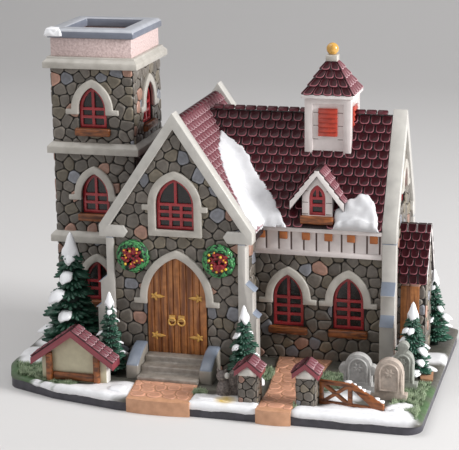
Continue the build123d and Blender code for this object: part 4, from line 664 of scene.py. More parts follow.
def outside(points, hole):
    """A convex outline cut back along the side of a hole that it lies furthest beyond."""
    if not points:
        return points
    cu, cv = middle_of(points)
    best = None
    for i, (u, v) in enumerate(hole):
        pu, pv = hole[i - 1]
        du, dv = u - pu, v - pv
        long = math.hypot(du, dv)
        if long < 1e-6:
            continue
        nu, nv = dv / long, -du / long
        beyond = (cu - pu) * nu + (cv - pv) * nv
        if best is None or beyond > best[0]:
            best = (beyond, nu, nv, pu * nu + pv * nv)
    return clipped(points, -best[1], -best[2], -best[3])


def signed_area(points):
    """Area inside an outline, above zero where it runs anticlockwise."""
    return sum(points[i - 1][0] * p[1] - p[0] * points[i - 1][1] for i, p in enumerate(points)) / 2


STONE_SHAKE = 0.33
LEAST_STONE = 0.1


def cells(region, limits, width, height, joint, seed, holes=()):
    """Stone outlines: shrunken nearest-point cells of a grid shaken over a region, kept within limits."""
    chance = random.Random(seed)
    low_u, low_v = (min(p[axis] for p in region) for axis in (0, 1))
    columns = int((max(u for u, v in region) - low_u) / width) + 3
    rows = int((max(v for u, v in region) - low_v) / height) + 3
    seeds = {}
    for row in range(rows):
        for column in range(columns):
            du = column - 0.5 + 0.5 * (row % 2) + chance.uniform(-STONE_SHAKE, STONE_SHAKE)
            dv = row - 0.5 + chance.uniform(-STONE_SHAKE, STONE_SHAKE)
            seeds[column, row] = (low_u + du * width, low_v + dv * height)
    outlines = []
    around = [(i, j) for i in range(-2, 3) for j in range(-2, 3) if i or j]
    for (column, row), (u, v) in seeds.items():
        shape = limits
        for i, j in around:
            other = seeds.get((column + i, row + j))
            if other is None or not shape:
                continue
            du, dv = other[0] - u, other[1] - v
            gap = math.hypot(du, dv)
            nu, nv = du / gap, dv / gap
            shape = clipped(shape, nu, nv, u * nu + v * nv + (gap - joint) / 2)
        for hole in holes:
            shape = outside(shape, hole)
        if len(shape) >= 3 and abs(signed_area(shape)) > width * height * LEAST_STONE:
            outlines.append(shape if signed_area(shape) > 0 else list(reversed(shape)))
    return outlines


# Rings of one stone from its foot up, as share of its width, share of its height and tone
STONE_RINGS = ((1.0, -0.3, 0.35), (0.99, 0.4, 0.75), (0.88, 0.84, 1.35), (0.62, 1.0, 0.95))
CORNER = 0.19


def pillow(points, place, tint, proud, chance, skin):
    """Adds one rounded stone with a light worn rim to a skin."""
    rounded = []
    for i, (u, v) in enumerate(points):
        pu, pv = points[i - 1]
        for share in (CORNER, 1 - CORNER):
            rounded.append((pu * (1 - share) + u * share, pv * (1 - share) + v * share))
    cu, cv = middle_of(rounded)
    height = proud * chance.uniform(0.75, 1.25)
    lean_u, lean_v = chance.uniform(-0.05, 0.05), chance.uniform(-0.05, 0.05)
    rings, tints = [], []
    for share, lift, tone in STONE_RINGS:
        ring = []
        for u, v in rounded:
            x, y = cu + (u - cu) * share, cv + (v - cv) * share
            tilt = (x - cu) * lean_u + (y - cv) * lean_v if lift > 0.5 else 0.0
            ring.append(place(x, y, height * lift + tilt))
        rings.append(ring)
        tints += [tuple(c * tone for c in tint)] * len(ring)
    first, count = len(skin.points), len(rounded)
    skin.add(rings, tints, False)
    top = len(skin.points)
    skin.points.append(place(cu, cv, height))
    skin.tints.append(tint)
    skin.faces += [(top - count + i, top - count + (i + 1) % count, top) for i in range(count)]
    skin.faces.append(tuple(reversed(range(first, first + count))))


def stone_tint(chance):
    """Colour of one stone: mostly taupe grey, some pink, blue-grey or brown."""
    base = Vector(bpy.context.scene.chapel_stones.grey)
    pick = chance.random()
    for most, shade in ((0.07, "ab8575"), (0.13, "84868d"), (0.28, "7d7465")):
        if pick < most:
            base = Vector(colour(shade))
            break
    return tuple(base * chance.uniform(0.72, 1.2))


def facing_sign(way):
    """Plus or minus one: whether a level direction runs with the part's axes."""
    return 1 if way.x + way.y > 0 else -1


def on_face(facing, face):
    """Function that places a point given along a wall, up it and out of it."""
    along, out = FACINGS[facing]
    base = out * (face * facing_sign(out))
    return lambda u, v, lift: base + along * u + UP * v + out * lift


def opening(facing, along, foot, sizes, clear, below):
    """Outline of an opening in its wall's own width and height, with a margin round it and below."""
    half, jamb, radius = sizes
    middle = along * facing_sign(FACINGS[facing][0])
    shape = arch_points(half + clear, foot - below, foot + jamb, radius + clear)
    return [(u + middle, v) for u, v in shape]


def upright(u0, u1, v0, v1, inset=0.0):
    """Upright rectangle on a wall, anticlockwise, drawn in at its sides and foot."""
    return [(u0 + inset, v0 + inset), (u1 - inset, v0 + inset), (u1 - inset, v1), (u0 + inset, v1)]


def gable(middle, half, foot, head, apex, inset=0.0):
    """Gable end on a wall, drawn in at its upright sides and foot."""
    low = head + (apex - head) * inset / half
    return [
        (middle - half + inset, foot + inset), (middle + half - inset, foot + inset),
        (middle + half - inset, low), (middle, apex), (middle - half + inset, low),
    ]


def four_sides(x, y, half):
    """Faces of a square block as facing, wall face and middle along the wall."""
    return ("front", y - half, x), ("rear", y + half, -x), ("right", x + half, y), ("left", x - half, -y)


STONE_INSET = 0.8
OPENING_CLEAR = 0.6
LAMP_CLEAR = 0.9
ENTRANCE_GABLE = (ENTRANCE_HALF, GROUND, ENTRANCE_HEAD, ENTRANCE_APEX)

# Stone faces by wall node: limits across, then facing, wall face, outline maker, its sizes and a seed
WALLS = {
    "entrance_walls": (
        (TOWER_RIGHT, ENTRANCE_FRONT), (NAVE_LEFT, ENTRANCE_REAR),
        (
            ("front", ENTRANCE_FRONT, gable, (ENTRANCE_X, *ENTRANCE_GABLE), 11),
            ("rear", ENTRANCE_REAR, gable, (-ENTRANCE_X, *ENTRANCE_GABLE), 12),
            ("right", NAVE_LEFT, upright, (ENTRANCE_FRONT, NAVE_FRONT, GROUND, ENTRANCE_HEAD), 13),
            ("left", TOWER_RIGHT, upright, (-TOWER_FRONT, -ENTRANCE_FRONT, GROUND, ENTRANCE_HEAD), 14),
        ),
    ),
    "nave_walls": (
        (NAVE_LEFT, NAVE_FRONT), (NAVE_RIGHT, NAVE_REAR),
        (
            ("front", NAVE_FRONT, upright, (NAVE_LEFT, NAVE_COPING, GROUND, EAVES), 21),
            ("rear", NAVE_REAR, upright, (-NAVE_COPING, -NAVE_LEFT, GROUND, EAVES), 22),
            ("right", NAVE_RIGHT, gable, (NAVE_RIDGE_Y, NAVE_HALF, GROUND, NAVE_HEAD, NAVE_APEX), 23),
        ),
    ),
    "tower_walls": (
        (TOWER_LEFT, TOWER_FRONT), (TOWER_RIGHT, TOWER_REAR),
        (
            ("front", TOWER_FRONT, upright, (TOWER_LEFT, TOWER_RIGHT, GROUND, TOWER_TOP), 31),
            ("rear", TOWER_REAR, upright, (-TOWER_RIGHT, -TOWER_LEFT, GROUND, TOWER_TOP), 32),
            ("left", TOWER_LEFT, upright, (-TOWER_REAR, -TOWER_FRONT, GROUND, TOWER_TOP), 33),
            ("right", TOWER_RIGHT, upright, (TOWER_FRONT, TOWER_REAR, ENTRANCE_HEAD, TOWER_TOP), 34),
        ),
    ),
}
PORCH_STONES = (6.0, 5.2)
PILLAR_STONES = (4.4, 4.0)
PILLAR_HEAD = 23.0
PEDIMENT = ((-4.8, 22.6), (4.8, 22.6), (4.8, 24.2), (0, 28.0), (-4.8, 24.2))
PEDIMENT_OUT = (4.75, 5.3)


class CHAPEL_OT_walls(bpy.types.Operator):
    """Cover the walls with rounded stones in dark mortar"""

    bl_idname = "chapel.walls"
    bl_label = "Stone walls"

    def execute(self, context):
        settings = context.scene.chapel_stones
        chance = random.Random(3)
        size = (settings.width / MM, settings.height / MM)
        clear = LAMP_HOLE + LAMP_CLEAR
        lamp_hole = [(clear * c - LAMP_X, clear * s + LAMP_Z) for c, s in arc(16)]
        for node, (low, high, faces) in WALLS.items():
            bed = smoothed(merged_copy(node, low, high), False)
            new_piece(node + "_mortar", bed, "mortar", "stonework", (node,))
            skin = Skin()
            for facing, face, outline, sizes, seed in faces:
                holes = [
                    opening(side, along, foot, shape, OPENING_CLEAR, OPENING_CLEAR)
                    for side, along, at, foot, shape in (*WINDOWS, DOORWAY)
                    if side == facing and abs(at - face) < 0.1
                ]
                if facing == "rear" and node == "nave_walls":
                    holes.append(lamp_hole)
                region = outline(*sizes, STONE_INSET)
                self.cover(skin, facing, face, region, outline(*sizes), size, seed, chance, holes)
            skin.show(node.replace("walls", "stones"), "stone", "stonework")
        dressed("mortar", "porch_walls", "gate_pillars")
        small = Skin()
        for facing, face, region in (
            ("front", PORCH_Y - PORCH_HALF, upright(NAVE_RIGHT, PORCH_END, GROUND, PORCH_HEAD)),
            ("rear", PORCH_Y + PORCH_HALF, upright(-PORCH_END, -NAVE_RIGHT, GROUND, PORCH_HEAD)),
            ("right", PORCH_END, gable(PORCH_Y, PORCH_HALF, GROUND, PORCH_HEAD + 0.5, PORCH_APEX)),
        ):
            self.cover(small, facing, face, region, region, PORCH_STONES, 41, chance, ())
        for x, y in PILLARS:
            for facing, face, along in four_sides(x, y, PILLAR_HALF):
                region = upright(along - PILLAR_HALF, along + PILLAR_HALF, GROUND, PILLAR_HEAD)
                self.cover(small, facing, face, region, region, PILLAR_STONES, 51, chance, ())
        small.show("porch_and_pillar_stones", "stone", "stonework")
        self.pediments()
        return {"FINISHED"}

    def cover(self, skin, facing, face, region, limits, size, seed, chance, holes):
        """Stones on one wall, clear of its openings."""
        settings = bpy.context.scene.chapel_stones
        place = on_face(facing, face)
        proud = settings.proud / MM * min(1.0, size[0] / 6.0)
        for shape in cells(region, limits, *size, settings.joint / MM, seed, holes):
            pillow(shape, place, stone_tint(chance), proud, chance, skin)

    def pediments(self):
        """White gables under the caps of the gate pillars."""
        skin = Skin()
        for x, y in PILLARS:
            for out in (-1, 1):
                rings = [[Vector((x + u, y + out * lift, v)) for u, v in PEDIMENT] for lift in PEDIMENT_OUT]
                skin.add(rings)
        skin.wash(colour("dcd8d0"))
        skin.show("pillar_gables", "edged", "stonework")


JOINT_COLOUR = "6a5650"
JOINT_HALF = 0.16
JOINT_OUT = (-0.2, 0.06)
DORMER_JOINTS = (92.2, 98.6, 105.0)
DORMER_SIDES = ((40.6, 44.0), (53.8, 57.2))
CUPOLA_JOINTS = (129.6, 137.2, 144.4)
CUPOLA_SIDE = (5.4, 8.5)
SHADE_SHEET_DEPTHS = (-2.4, -2.0)
# Tower coping: top faces painted lighter and side faces darker, painted light from above
SLATE_TOP_PAINTED_LIGHT = two_coloured(lambda normal, centre: normal.z > 0.3, "b4b7be", "767b88")
SLATE_SLOPES = two_coloured(lambda normal, centre: 0.25 < normal.z < 0.98, "88919f", "c3bfb8")
SLATE_CHEEKS = two_coloured(lambda normal, centre: normal.z > 0.25, "848d9b", "a09a90")
BOARDING = two_coloured(
    lambda normal, centre: 71.2 < centre.z < 81.7 and abs(normal.x) > 0.3, JOINT_COLOUR, "ddd4d1"
)
SIGN_BOARD = two_coloured(lambda normal, centre: normal.y < -0.7, "c9c1a3", "e9e6e0")

# Trim as nodes, width of the rounded edges, finish, slot and colour rule
TRIM = (
    (("tower_cornice", "tower_string_courses"), 0.6, "trim", "trim", None),
    (("hood_moulds", "gable_surrounds", "entrance_door_hood", "cupola_collar"), 0.5, "trim", "trim", None),
    (("entrance_copings", "nave_end_coping"), 0.7, "coping", "coping", None),
    (("tower_coping",), 0.6, "slate", "coping", SLATE_TOP_PAINTED_LIGHT),
    (("tower_parapet",), 0.5, "parapet", "parapet", None),
    (("entrance_buttresses", "nave_buttresses"), 0.6, "slate", "trim", SLATE_SLOPES),
    (("eaves_boards", "cupola_body", "dormer_walls"), 0.3, "boards", "boards", BOARDING),
    (("corbel_blocks",), 0.4, "corbel", "boards", None),
    (("door_steps",), 0.9, "step", "steps", None),
    (("step_cheeks",), 0.9, "slate", "steps", SLATE_CHEEKS),
)


class CHAPEL_OT_trim(bpy.types.Operator):
    """Round the edges of copings, mouldings, buttresses and boards under their glaze"""

    bl_idname = "chapel.trim"
    bl_label = "Trim"

    def execute(self, context):
        for nodes, *values in TRIM:
            for node in nodes:
                softened(node, *values)
        self.corner_snow()
        self.joints()
        return {"FINISHED"}

    def corner_snow(self):
        """White snow over the front left corner of the tower's coping."""
        low, high = (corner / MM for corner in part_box("tower_coping"))
        skin = Skin()
        chance = random.Random(6)
        left, front = low.x - 0.2, low.y - 0.2
        plan = [(left, front), (left + 8.5, front), (left + 6.5, front + 5.0), (left, front + 6.5)]
        heap(skin, plan, lambda x, y: high.z - 0.3, 0.8, 2.5, 4, low.z, step=0.5)
        fall = [(left, low.z + 0.5), (left + 2.5, low.z + 0.7), (left + 8.5, high.z), (left, high.z)]
        pillow(fall, on_face("front", low.y), GREY, 0.6, chance, skin)
        end = -front
        fall = [(end - 6.5, high.z), (end - 2.5, low.z + 0.8), (end, low.z + 0.5), (end, high.z)]
        pillow(fall, on_face("left", low.x), GREY, 0.6, chance, skin)
        skin.tints.clear()
        skin.wash(snow_colour())
        skin.show("tower_snow", "snow", "snow")

    def joints(self):
        """Thin dark joints between the boards of the dormer and of the cupola."""
        skin = Skin()
        for z in DORMER_JOINTS:
            for x0, x1 in DORMER_SIDES:
                self.strip(skin, "front", DORMER_FACE, x0, x1, z)
        for facing, face, along in four_sides(CUPOLA_X, NAVE_RIDGE_Y, CUPOLA_HALF):
            for z in CUPOLA_JOINTS:
                for side in (-1, 1):
                    ends = sorted(along + side * far for far in CUPOLA_SIDE)
                    self.strip(skin, facing, face, *ends, z)
        skin.wash(colour(JOINT_COLOUR))
        skin.show("board_joints", "edged", "boards")

    def strip(self, skin, facing, face, u0, u1, z):
        """One joint on a wall."""
        place = on_face(facing, face)
        shape = upright(u0, u1, z - JOINT_HALF, z + JOINT_HALF)
        skin.add([[place(u, v, lift) for u, v in shape] for lift in JOINT_OUT])


class CHAPEL_OT_windows(bpy.types.Operator):
    """Paint the window frames, and close them behind with a dark sheet of painted shade"""

    bl_idname = "chapel.windows"
    bl_label = "Windows"

    def execute(self, context):
        for node in ("gable_windows", "tower_windows", "nave_windows", "dormer_window"):
            softened(node, 0.25, "red", "window_red")
        softened("cupola_louvres", 0.25, "louvre", "window_red")
        softened("window_sills", 0.8, "log", "logs")
        # Dark sheet behind each opening: painted shade for the unlit hollow inside
        skin = Skin()
        for facing, along, face, foot, sizes in (*WINDOWS, DORMER_WINDOW):
            place = on_face(facing, face)
            shape = opening(facing, along, foot, sizes, -0.2, -0.1)
            skin.add([[place(u, v, depth) for u, v in shape] for depth in SHADE_SHEET_DEPTHS])
        skin.show("window_film", "film", "window_red", smooth=False)
        return {"FINISHED"}


# Rings of one tile from its bed up, as share of its width, share of its thickness, tone and pale rim
TILE_RINGS = ((1.0, -0.7, 0.2, 0.0), (1.0, 0.5, 0.7, 0.3), (0.92, 1.0, 1.0, 1.0), (0.76, 0.75, 0.85, 0.0))
TILE_ROUND = 0.65


def tile_into(skin, place, painted_light_share=0.0):
    """Adds a tile with a rounded lower end, a pale rim and a dark face; place maps across, down and out."""
    settings = bpy.context.scene.chapel_roof
    # Painted highlight: the light share paints the face paler and the rim towards snow white
    tile = Vector(settings.tile).lerp(Vector(settings.worn), painted_light_share)
    worn = Vector(settings.worn).lerp(snow_colour(), painted_light_share)
    line = [(1.0, 0.0)]
    for c, s in arc(10, math.pi):
        line.append((math.copysign(abs(c) ** TILE_ROUND, c), 0.52 + 0.48 * abs(s) ** TILE_ROUND))
    line.append((-1.0, 0.0))
    rings, tints = [], []
    for share, lift, tone, edge in TILE_RINGS:
        rings.append([place(s * share, 0.5 + (t - 0.5) * share, lift) for s, t in line])
        tints += [tuple(tile.lerp(worn, edge * max(0.0, (t - 0.25) / 0.75)) * tone) for s, t in line]
    skin.add(rings, tints)


def tile_shape(width, run, thick, painted_light_share):
    """One tile that runs along local y."""
    skin = Skin()
    tile_into(skin, lambda s, t, lift: (s * width / 2, t * run, lift * thick), painted_light_share)
    return skin.mesh("tile")


def cap_shape(width, run, height):
    """Ridge tile: a low half-round block along local x."""
    settings = bpy.context.scene.chapel_roof
    tile, worn = Vector(settings.tile), Vector(settings.worn)
    skin = Skin()
    rings, tints = [], []
    for x, share, edge in ((-0.5, 0.8, 0.1), (-0.42, 1.0, 0.3), (0.42, 1.0, 0.3), (0.5, 0.8, 0.1)):
        rings.append([(x * run, share * width / 2 * c, share * height * s) for c, s in arc(8, math.pi)])
        tints += [tuple(tile.lerp(worn, edge * (1 - s))) for c, s in arc(8, math.pi)]
    skin.add(rings, tints)
    return skin.mesh("ridge_cap")


def slope_places(ridge, along, out, pitch, span, courses, cap, width, step, start, limits):
    """Places of the tiles on one slope: courses up from the eave, every other one moved half a tile."""
    down = Vector(out) - UP * pitch
    stretch = down.length
    down.normalize()
    normal = (Vector(out) * pitch + UP).normalized()
    run = (span - cap) / courses * stretch
    sunk = step / stretch
    lean = (down * run + normal * sunk).normalized()
    over = lean.cross(along).normalized()
    if over.dot(normal) < 0:
        over = -over
    turn = Matrix((lean.cross(over), lean, over)).transposed().to_quaternion()
    places = []
    for course in range(courses):
        across = span - (span - cap) * course / courses
        low, high = limits(across)
        shift = start + width * (0.5 + 0.5 * (course % 2))
        spot = shift + width * math.ceil((low + width * 0.45 - shift) / width)
        row = []
        while spot <= high - width * 0.45:
            row.append((spot, 1.0))
            spot += width
        if not row:
            continue
        for gap, edge, way in ((row[0][0] - low, low, 1), (high - row[-1][0], high, -1)):
            share = gap / width - 0.5
            if share > 0.3:
                row.append((edge + way * share * width / 2, share))
        for spot, share in row:
            top = ridge + along * spot + down * (across * stretch - run) - normal * sunk
            places.append((top + over * 0.25, turn, (share, 1, 1)))
    return places


# Tiles as width and length
ENTRANCE_TILE = (4.6, 4.0)
NAVE_TILE = (6.2, 5.0)
PORCH_TILE = (5.2, 4.7)
SMALL_TILE = (3.5, 4.5)
TILE_THICK = 0.75
RIDGE_TILE = (4.6, 5.5, 2.1)

# Slopes as pitch, span, courses, cap, tile width, step between courses and start of the tiles
ENTRANCE_SLOPE = (ENTRANCE_PITCH, 42.0, 18, 1.4, ENTRANCE_TILE[0], 1.3, ENTRANCE_TILED[0])
NAVE_SLOPE = (NAVE_PITCH, 33.5, 13, 1.4, NAVE_TILE[0], 1.3, NAVE_TILED)
PORCH_SLOPE = (2.0, PORCH_SPAN, 6, 1.4, PORCH_TILE[0], 1.3, 92.4)
DORMER_SLOPE = (DORMER_PITCH, 15.0, 5, 1.4, SMALL_TILE[0], 0.9, DORMER_START)
SIGN_SLOPE = (0.73, 23.5, 6, 0.5, 3.9, 0.6, SIGN_ENDS[0])
PILLAR_SLOPE = (0.833, 7.0, 2, 0.5, SMALL_TILE[0], 0.6, PILLAR_TILED[0])
PORCH_RIDGE = Vector((0, PORCH_Y, 86.0))
PORCH_HUNG = (95.0, 57.6)
SIGN_RIDGE = 37.5
PILLAR_RIDGE = 31.2
RIDGE_STEP = 6.2
RIDGE_SUNK = 1.7
NAVE_CAPS = (-14.0, 83.0)
ENTRANCE_CAPS = (-19.4, 61.0)
CAPS_CLEAR = 14.5
CUPOLA_CLEAR = (10.5, 9.8)
DORMER_CLEAR = (7.0, 15.0)

# Cupola roof: its foot, rise and drawing in of one course, half widths of the lowest, and tiles in it
HIP_FOOT = 154.2
HIP_RISE = 4.2
HIP_IN = 2.8
HIP_HALVES = (14.5, 10.8)
HIP_TILES = 5

# Outlines of the roof snow in plan
VALLEY_SNOW = (
    (-11.0, 24.0), (-8.0, 6.0), (-1.0, -7.0), (11.0, -18.0), (18.4, -18.0), (19.0, -2.0), (31.0, -1.6),
    (24.0, 6.5), (16.0, 11.0), (4.0, 20.0),
)
DORMER_SNOW = (
    (58.5, -5.0), (58.5, 3.2), (63.0, 5.4), (68.0, 7.4), (72.5, 8.4), (76.0, 8.4), (79.5, 6.0), (82.0, 2.5),
    (83.5, -5.0),
)
SNOW_REST = 84.6


def entrance_top(x):
    """Height of the entrance block's roof."""
    return ENTRANCE_RIDGE - ENTRANCE_PITCH * abs(x - ENTRANCE_X)


def nave_top(y):
    """Height of the nave's roof."""
    return NAVE_RIDGE - NAVE_PITCH * abs(y - NAVE_RIDGE_Y)


def roof_edge(normal, centre):
    """White gable edges and eave board, tile-coloured edges on the sign and the pillars."""
    if centre.y < -40:
        return colour("8a3c46") if normal.z < 0.3 else colour("2a0d11")
    low_board = 150 < centre.z < 154.5
    gable_end = normal.y < -0.6 and 80 < centre.z < 125
    porch_end = normal.x > 0.6 and centre.x > 104
    return colour("efe9e6") if low_board or gable_end or porch_end else colour("1f090c")


class CHAPEL_OT_roofs(bpy.types.Operator):
    """Lay courses of round-ended tiles on every roof and snow in the valley"""

    bl_idname = "chapel.roofs"
    bl_label = "Roofs"

    def execute(self, context):
        dressed("tile_bed", "entrance_roof", "nave_roof")
        for node in ("dormer_roof", "porch_roof", "cupola_roof", "gate_pillar_caps", "sign_roof"):
            softened(node, 0.2, "edged", "tiles", roof_edge)
        for name, places, (width, run) in (
            ("entrance_tiles", self.entrance(), ENTRANCE_TILE),
            ("nave_tiles", self.nave(), NAVE_TILE),
            ("porch_tiles", self.porch(), PORCH_TILE),
            ("small_roof_tiles", self.small(), SMALL_TILE),
        ):
            self.lay(name, places, width * 0.85, run * 1.08, context.scene.chapel_roof.brush)
        self.cupola()
        self.ridges()
        self.snow()
        return {"FINISHED"}

    def lay(self, name, places, width, run, brush):
        """Sets one size of tile on all its places, with painted light where a slope faces right."""
        for part, painted_light_share in (("", 0.0), ("_pale", brush)):
            chosen = [place for place in places if ((place[1] @ UP).x > 0.3) == (part != "")]
            if chosen:
                shape = tile_shape(width, run, TILE_THICK, painted_light_share)
                scattered(name + part, chosen, shape, "tile", "tiles", (0.97, 1.02), 5)

    def entrance(self):
        """Both slopes of the entrance block, clear of the nave and the tower."""
        ridge = Vector((ENTRANCE_X, 0, ENTRANCE_RIDGE))
        front, back = ENTRANCE_TILED

        def meeting(across, side):
            height = ENTRANCE_RIDGE - ENTRANCE_PITCH * across
            over = height > NAVE_RIDGE - 1
            return over, NAVE_RIDGE_Y + side * (NAVE_RIDGE - height) / NAVE_PITCH

        def before(across):
            over, meet = meeting(across, -1)
            return front, back if over else min(back, meet + 3.0)

        def behind(across):
            over, meet = meeting(across, 1)
            return back if over else min(back, meet - 3.0), back

        def left(across):
            return front, back if across < ENTRANCE_HALF else 14.6

        places = []
        for out, limits in ((1, before), (1, behind), (-1, left)):
            places += slope_places(ridge, BACK, (out, 0, 0), *ENTRANCE_SLOPE, limits)
        return places

    def nave(self):
        """Both slopes of the nave, from the valleys to the end coping, clear of cupola and dormer."""
        ridge = Vector((0, NAVE_RIDGE_Y, NAVE_RIDGE))

        def limits(across):
            height = NAVE_RIDGE - NAVE_PITCH * across
            return ENTRANCE_X + (ENTRANCE_RIDGE - height) / ENTRANCE_PITCH - 4.0, NAVE_TILED

        places = []
        for out in (-1, 1):
            places += slope_places(ridge, RIGHT, (0, out, 0), *NAVE_SLOPE, limits)
        return [place for place in places if not self.covered(place[0])]

    def covered(self, spot):
        """Whether the cupola or the dormer stands on this place."""
        wide, deep = CUPOLA_CLEAR
        in_cupola = abs(spot.x - CUPOLA_X) < wide and abs(spot.y - NAVE_RIDGE_Y) < deep
        half, back = DORMER_CLEAR
        return in_cupola or (abs(spot.x - DORMER_X) < half and spot.y < back)

    def porch(self):
        """Both slopes of the porch, and a course hung on each eave."""
        places = []
        start, up = PORCH_HUNG
        for out in (1, -1):
            way = (0, out, 0)
            places += slope_places(PORCH_RIDGE, RIGHT, way, *PORCH_SLOPE, lambda across: PORCH_TILED)
            turn = turned(RIGHT * out, BACK * out)
            for i in range(3):
                spot = Vector((start + PORCH_TILE[0] * i, PORCH_Y + out * PORCH_SPAN, up))
                places.append((spot, turn, (1, 1, 1)))
        return places

    def small(self):
        """Dormer, sign and pillar roofs."""

        def dormer(across):
            fall = NAVE_RIDGE - DORMER_RIDGE + DORMER_PITCH * across
            return DORMER_START, NAVE_RIDGE_Y - fall / NAVE_PITCH + 1.5

        roofs = [
            (Vector((DORMER_X, 0, DORMER_RIDGE)), DORMER_SLOPE, dormer),
            (Vector((SIGN_X, 0, SIGN_RIDGE)), SIGN_SLOPE, lambda across: SIGN_ENDS),
        ]
        for x, y in PILLARS:
            roofs.append((Vector((x, y, PILLAR_RIDGE)), PILLAR_SLOPE, lambda across: PILLAR_TILED))
        places = []
        for out in (1, -1):
            for ridge, slope, limits in roofs:
                places += slope_places(ridge, BACK, (out, 0, 0), *slope, limits)
        return places

    def cupola(self):
        """Tiles on the four hips of the cupola, narrower to the top."""
        skin = Skin()
        for quarter in range(4):
            spin = Matrix.Rotation(math.pi / 2 * quarter, 3, "Z")
            for course in range(4):
                for i in range(HIP_TILES - course):
                    self.hip_tile(skin, spin, course, i)
        skin.show("cupola_tiles", "tile", "tiles")

    def hip_tile(self, skin, spin, course, i):
        """One tile between the foot and the head of a course."""
        low, high = (half - HIP_IN * course for half in HIP_HALVES)
        middle = Vector((CUPOLA_X, NAVE_RIDGE_Y, HIP_FOOT + HIP_RISE * course))

        def place(s, t, lift):
            share = 1.03 - t * 1.03
            half = low + (high - low) * share
            along = (2 * (i + 0.5 + 0.44 * s) / (HIP_TILES - course) - 1) * half
            return middle + spin @ Vector((half + 0.5 * lift + 0.25, along, HIP_RISE * share + 0.4 * lift))

        # Painted light on the hips that face right
        tile_into(skin, place, bpy.context.scene.chapel_roof.brush if (spin @ RIGHT).x > 0.5 else 0.0)

    def ridges(self):
        """Ridge tiles along the nave and the entrance block."""
        across = Quaternion(UP, math.pi / 2)
        places = []
        spot, last = NAVE_CAPS
        while spot < last:
            if abs(spot - CUPOLA_X) > CAPS_CLEAR:
                top = Vector((spot, NAVE_RIDGE_Y, NAVE_RIDGE - RIDGE_SUNK))
                places.append((top, Quaternion(), (1, 1, 1)))
            spot += RIDGE_STEP
        spot, last = ENTRANCE_CAPS
        while spot < last:
            places.append((Vector((ENTRANCE_X, spot, ENTRANCE_RIDGE - RIDGE_SUNK)), across, (1, 1, 1)))
            spot += RIDGE_STEP
        scattered("ridge_tiles", places, cap_shape(*RIDGE_TILE), "tile", "tiles", seed=5)

    def snow(self):
        """Snow that fills the valley, and a heap beside the dormer."""
        skin = Skin()

        def slope(y):
            return nave_top(max(y, -1.0))

        def valley(x, y):
            return softest(entrance_top(min(x, 19.0)), slope(y), 3.5)

        heap(skin, VALLEY_SNOW, valley, 2.6, 4.5, 2, SNOW_REST)
        heap(skin, DORMER_SNOW, lambda x, y: slope(y), 5.5, 4.0, 7, SNOW_REST, -2.0, 0.6)
        # Roof snow painted darker than clean snow: painted shade
        skin.wash(snow_colour() * 0.74)
        skin.show("snow_on_roof", "snow", "snow", ("roof_snow",))


def softest(a, b, blend):
    """The larger of two heights, rounded where they meet."""
    most = max(a, b)
    return most + blend * math.log(math.exp((a - most) / blend) + math.exp((b - most) / blend))


def edge_distance(u, v, shape):
    """Distance from a point to an outline."""
    least = 1e9
    for i, (x, y) in enumerate(shape):
        px, py = shape[i - 1]
        dx, dy = x - px, y - py
        share = ((u - px) * dx + (v - py) * dy) / (dx * dx + dy * dy)
        share = limited(share)
        least = min(least, math.hypot(u - px - dx * share, v - py - dy * share))
    return least


def limited(share):
    """A share kept between 0 and 1."""
    return min(1.0, max(0.0, share))


def heap(skin, shape, floor, depth, reach, seed, rest, front=-99.0, step=0.8):
    """Adds a heap of snow inside an outline: uneven, closed below, never under rest or before front."""
    low_u, low_v = min(u for u, v in shape), min(v for u, v in shape)
    columns = int((max(u for u, v in shape) - low_u) / step) + 5
    rows = int((max(v for u, v in shape) - low_v) / step) + 5
    spots = {}
    first = len(skin.points)
    bottoms = []
    for i in range(columns):
        for j in range(rows):
            u, v = low_u + (i - 2) * step, low_v + (j - 2) * step
            far = edge_distance(u, v, shape) * (1 if inside(u, v, shape) else -1)
            far += 0.9 * noise.noise(Vector((u * 0.3, v * 0.3, seed)))
            if far < -1.3 or v < front:
                continue
            share = limited(far / reach)
            swell = 1 + 0.35 * noise.noise(Vector((u * 0.2, v * 0.42, seed + 5)))
            lift = depth * swell * math.sqrt(1 - (1 - share) ** 2) if far > 0 else far * 3.0
            spots[i, j] = first + len(bottoms)
            skin.points.append((u, v, max(floor(u, v) + lift, rest + 0.2)))
            bottoms.append((u, v, max(floor(u, v) - 4.0, rest)))
    count = len(bottoms)
    skin.points += bottoms
    sides = set()
    for i, j in spots:
        corners = [spots.get(key) for key in ((i, j), (i + 1, j), (i + 1, j + 1), (i, j + 1))]
        if None in corners:
            continue
        skin.faces.append(tuple(corners))
        skin.faces.append(tuple(c + count for c in reversed(corners)))
        sides |= {(corners[k - 1], corners[k]) for k in range(4)}
    for a, b in sides:
        if (b, a) not in sides:
            skin.faces.append((b, a, a + count, b + count))


WREATH_RING = 6.6
WREATH_LEAVES = 210
WREATH_RIBBONS = 40
WREATH_BERRIES = 11
HINGE_ROOT = (12.6, -28.4)
HINGE_HEIGHTS = (26.5, 49.0)


def level_way(angle):
    """Level direction at an angle from the part's right."""
    return Vector((math.cos(angle), math.sin(angle), 0))


def upright_way(angle):
    """Direction on a front wall at an angle from the part's right."""
    return Vector((math.cos(angle), 0, math.sin(angle)))


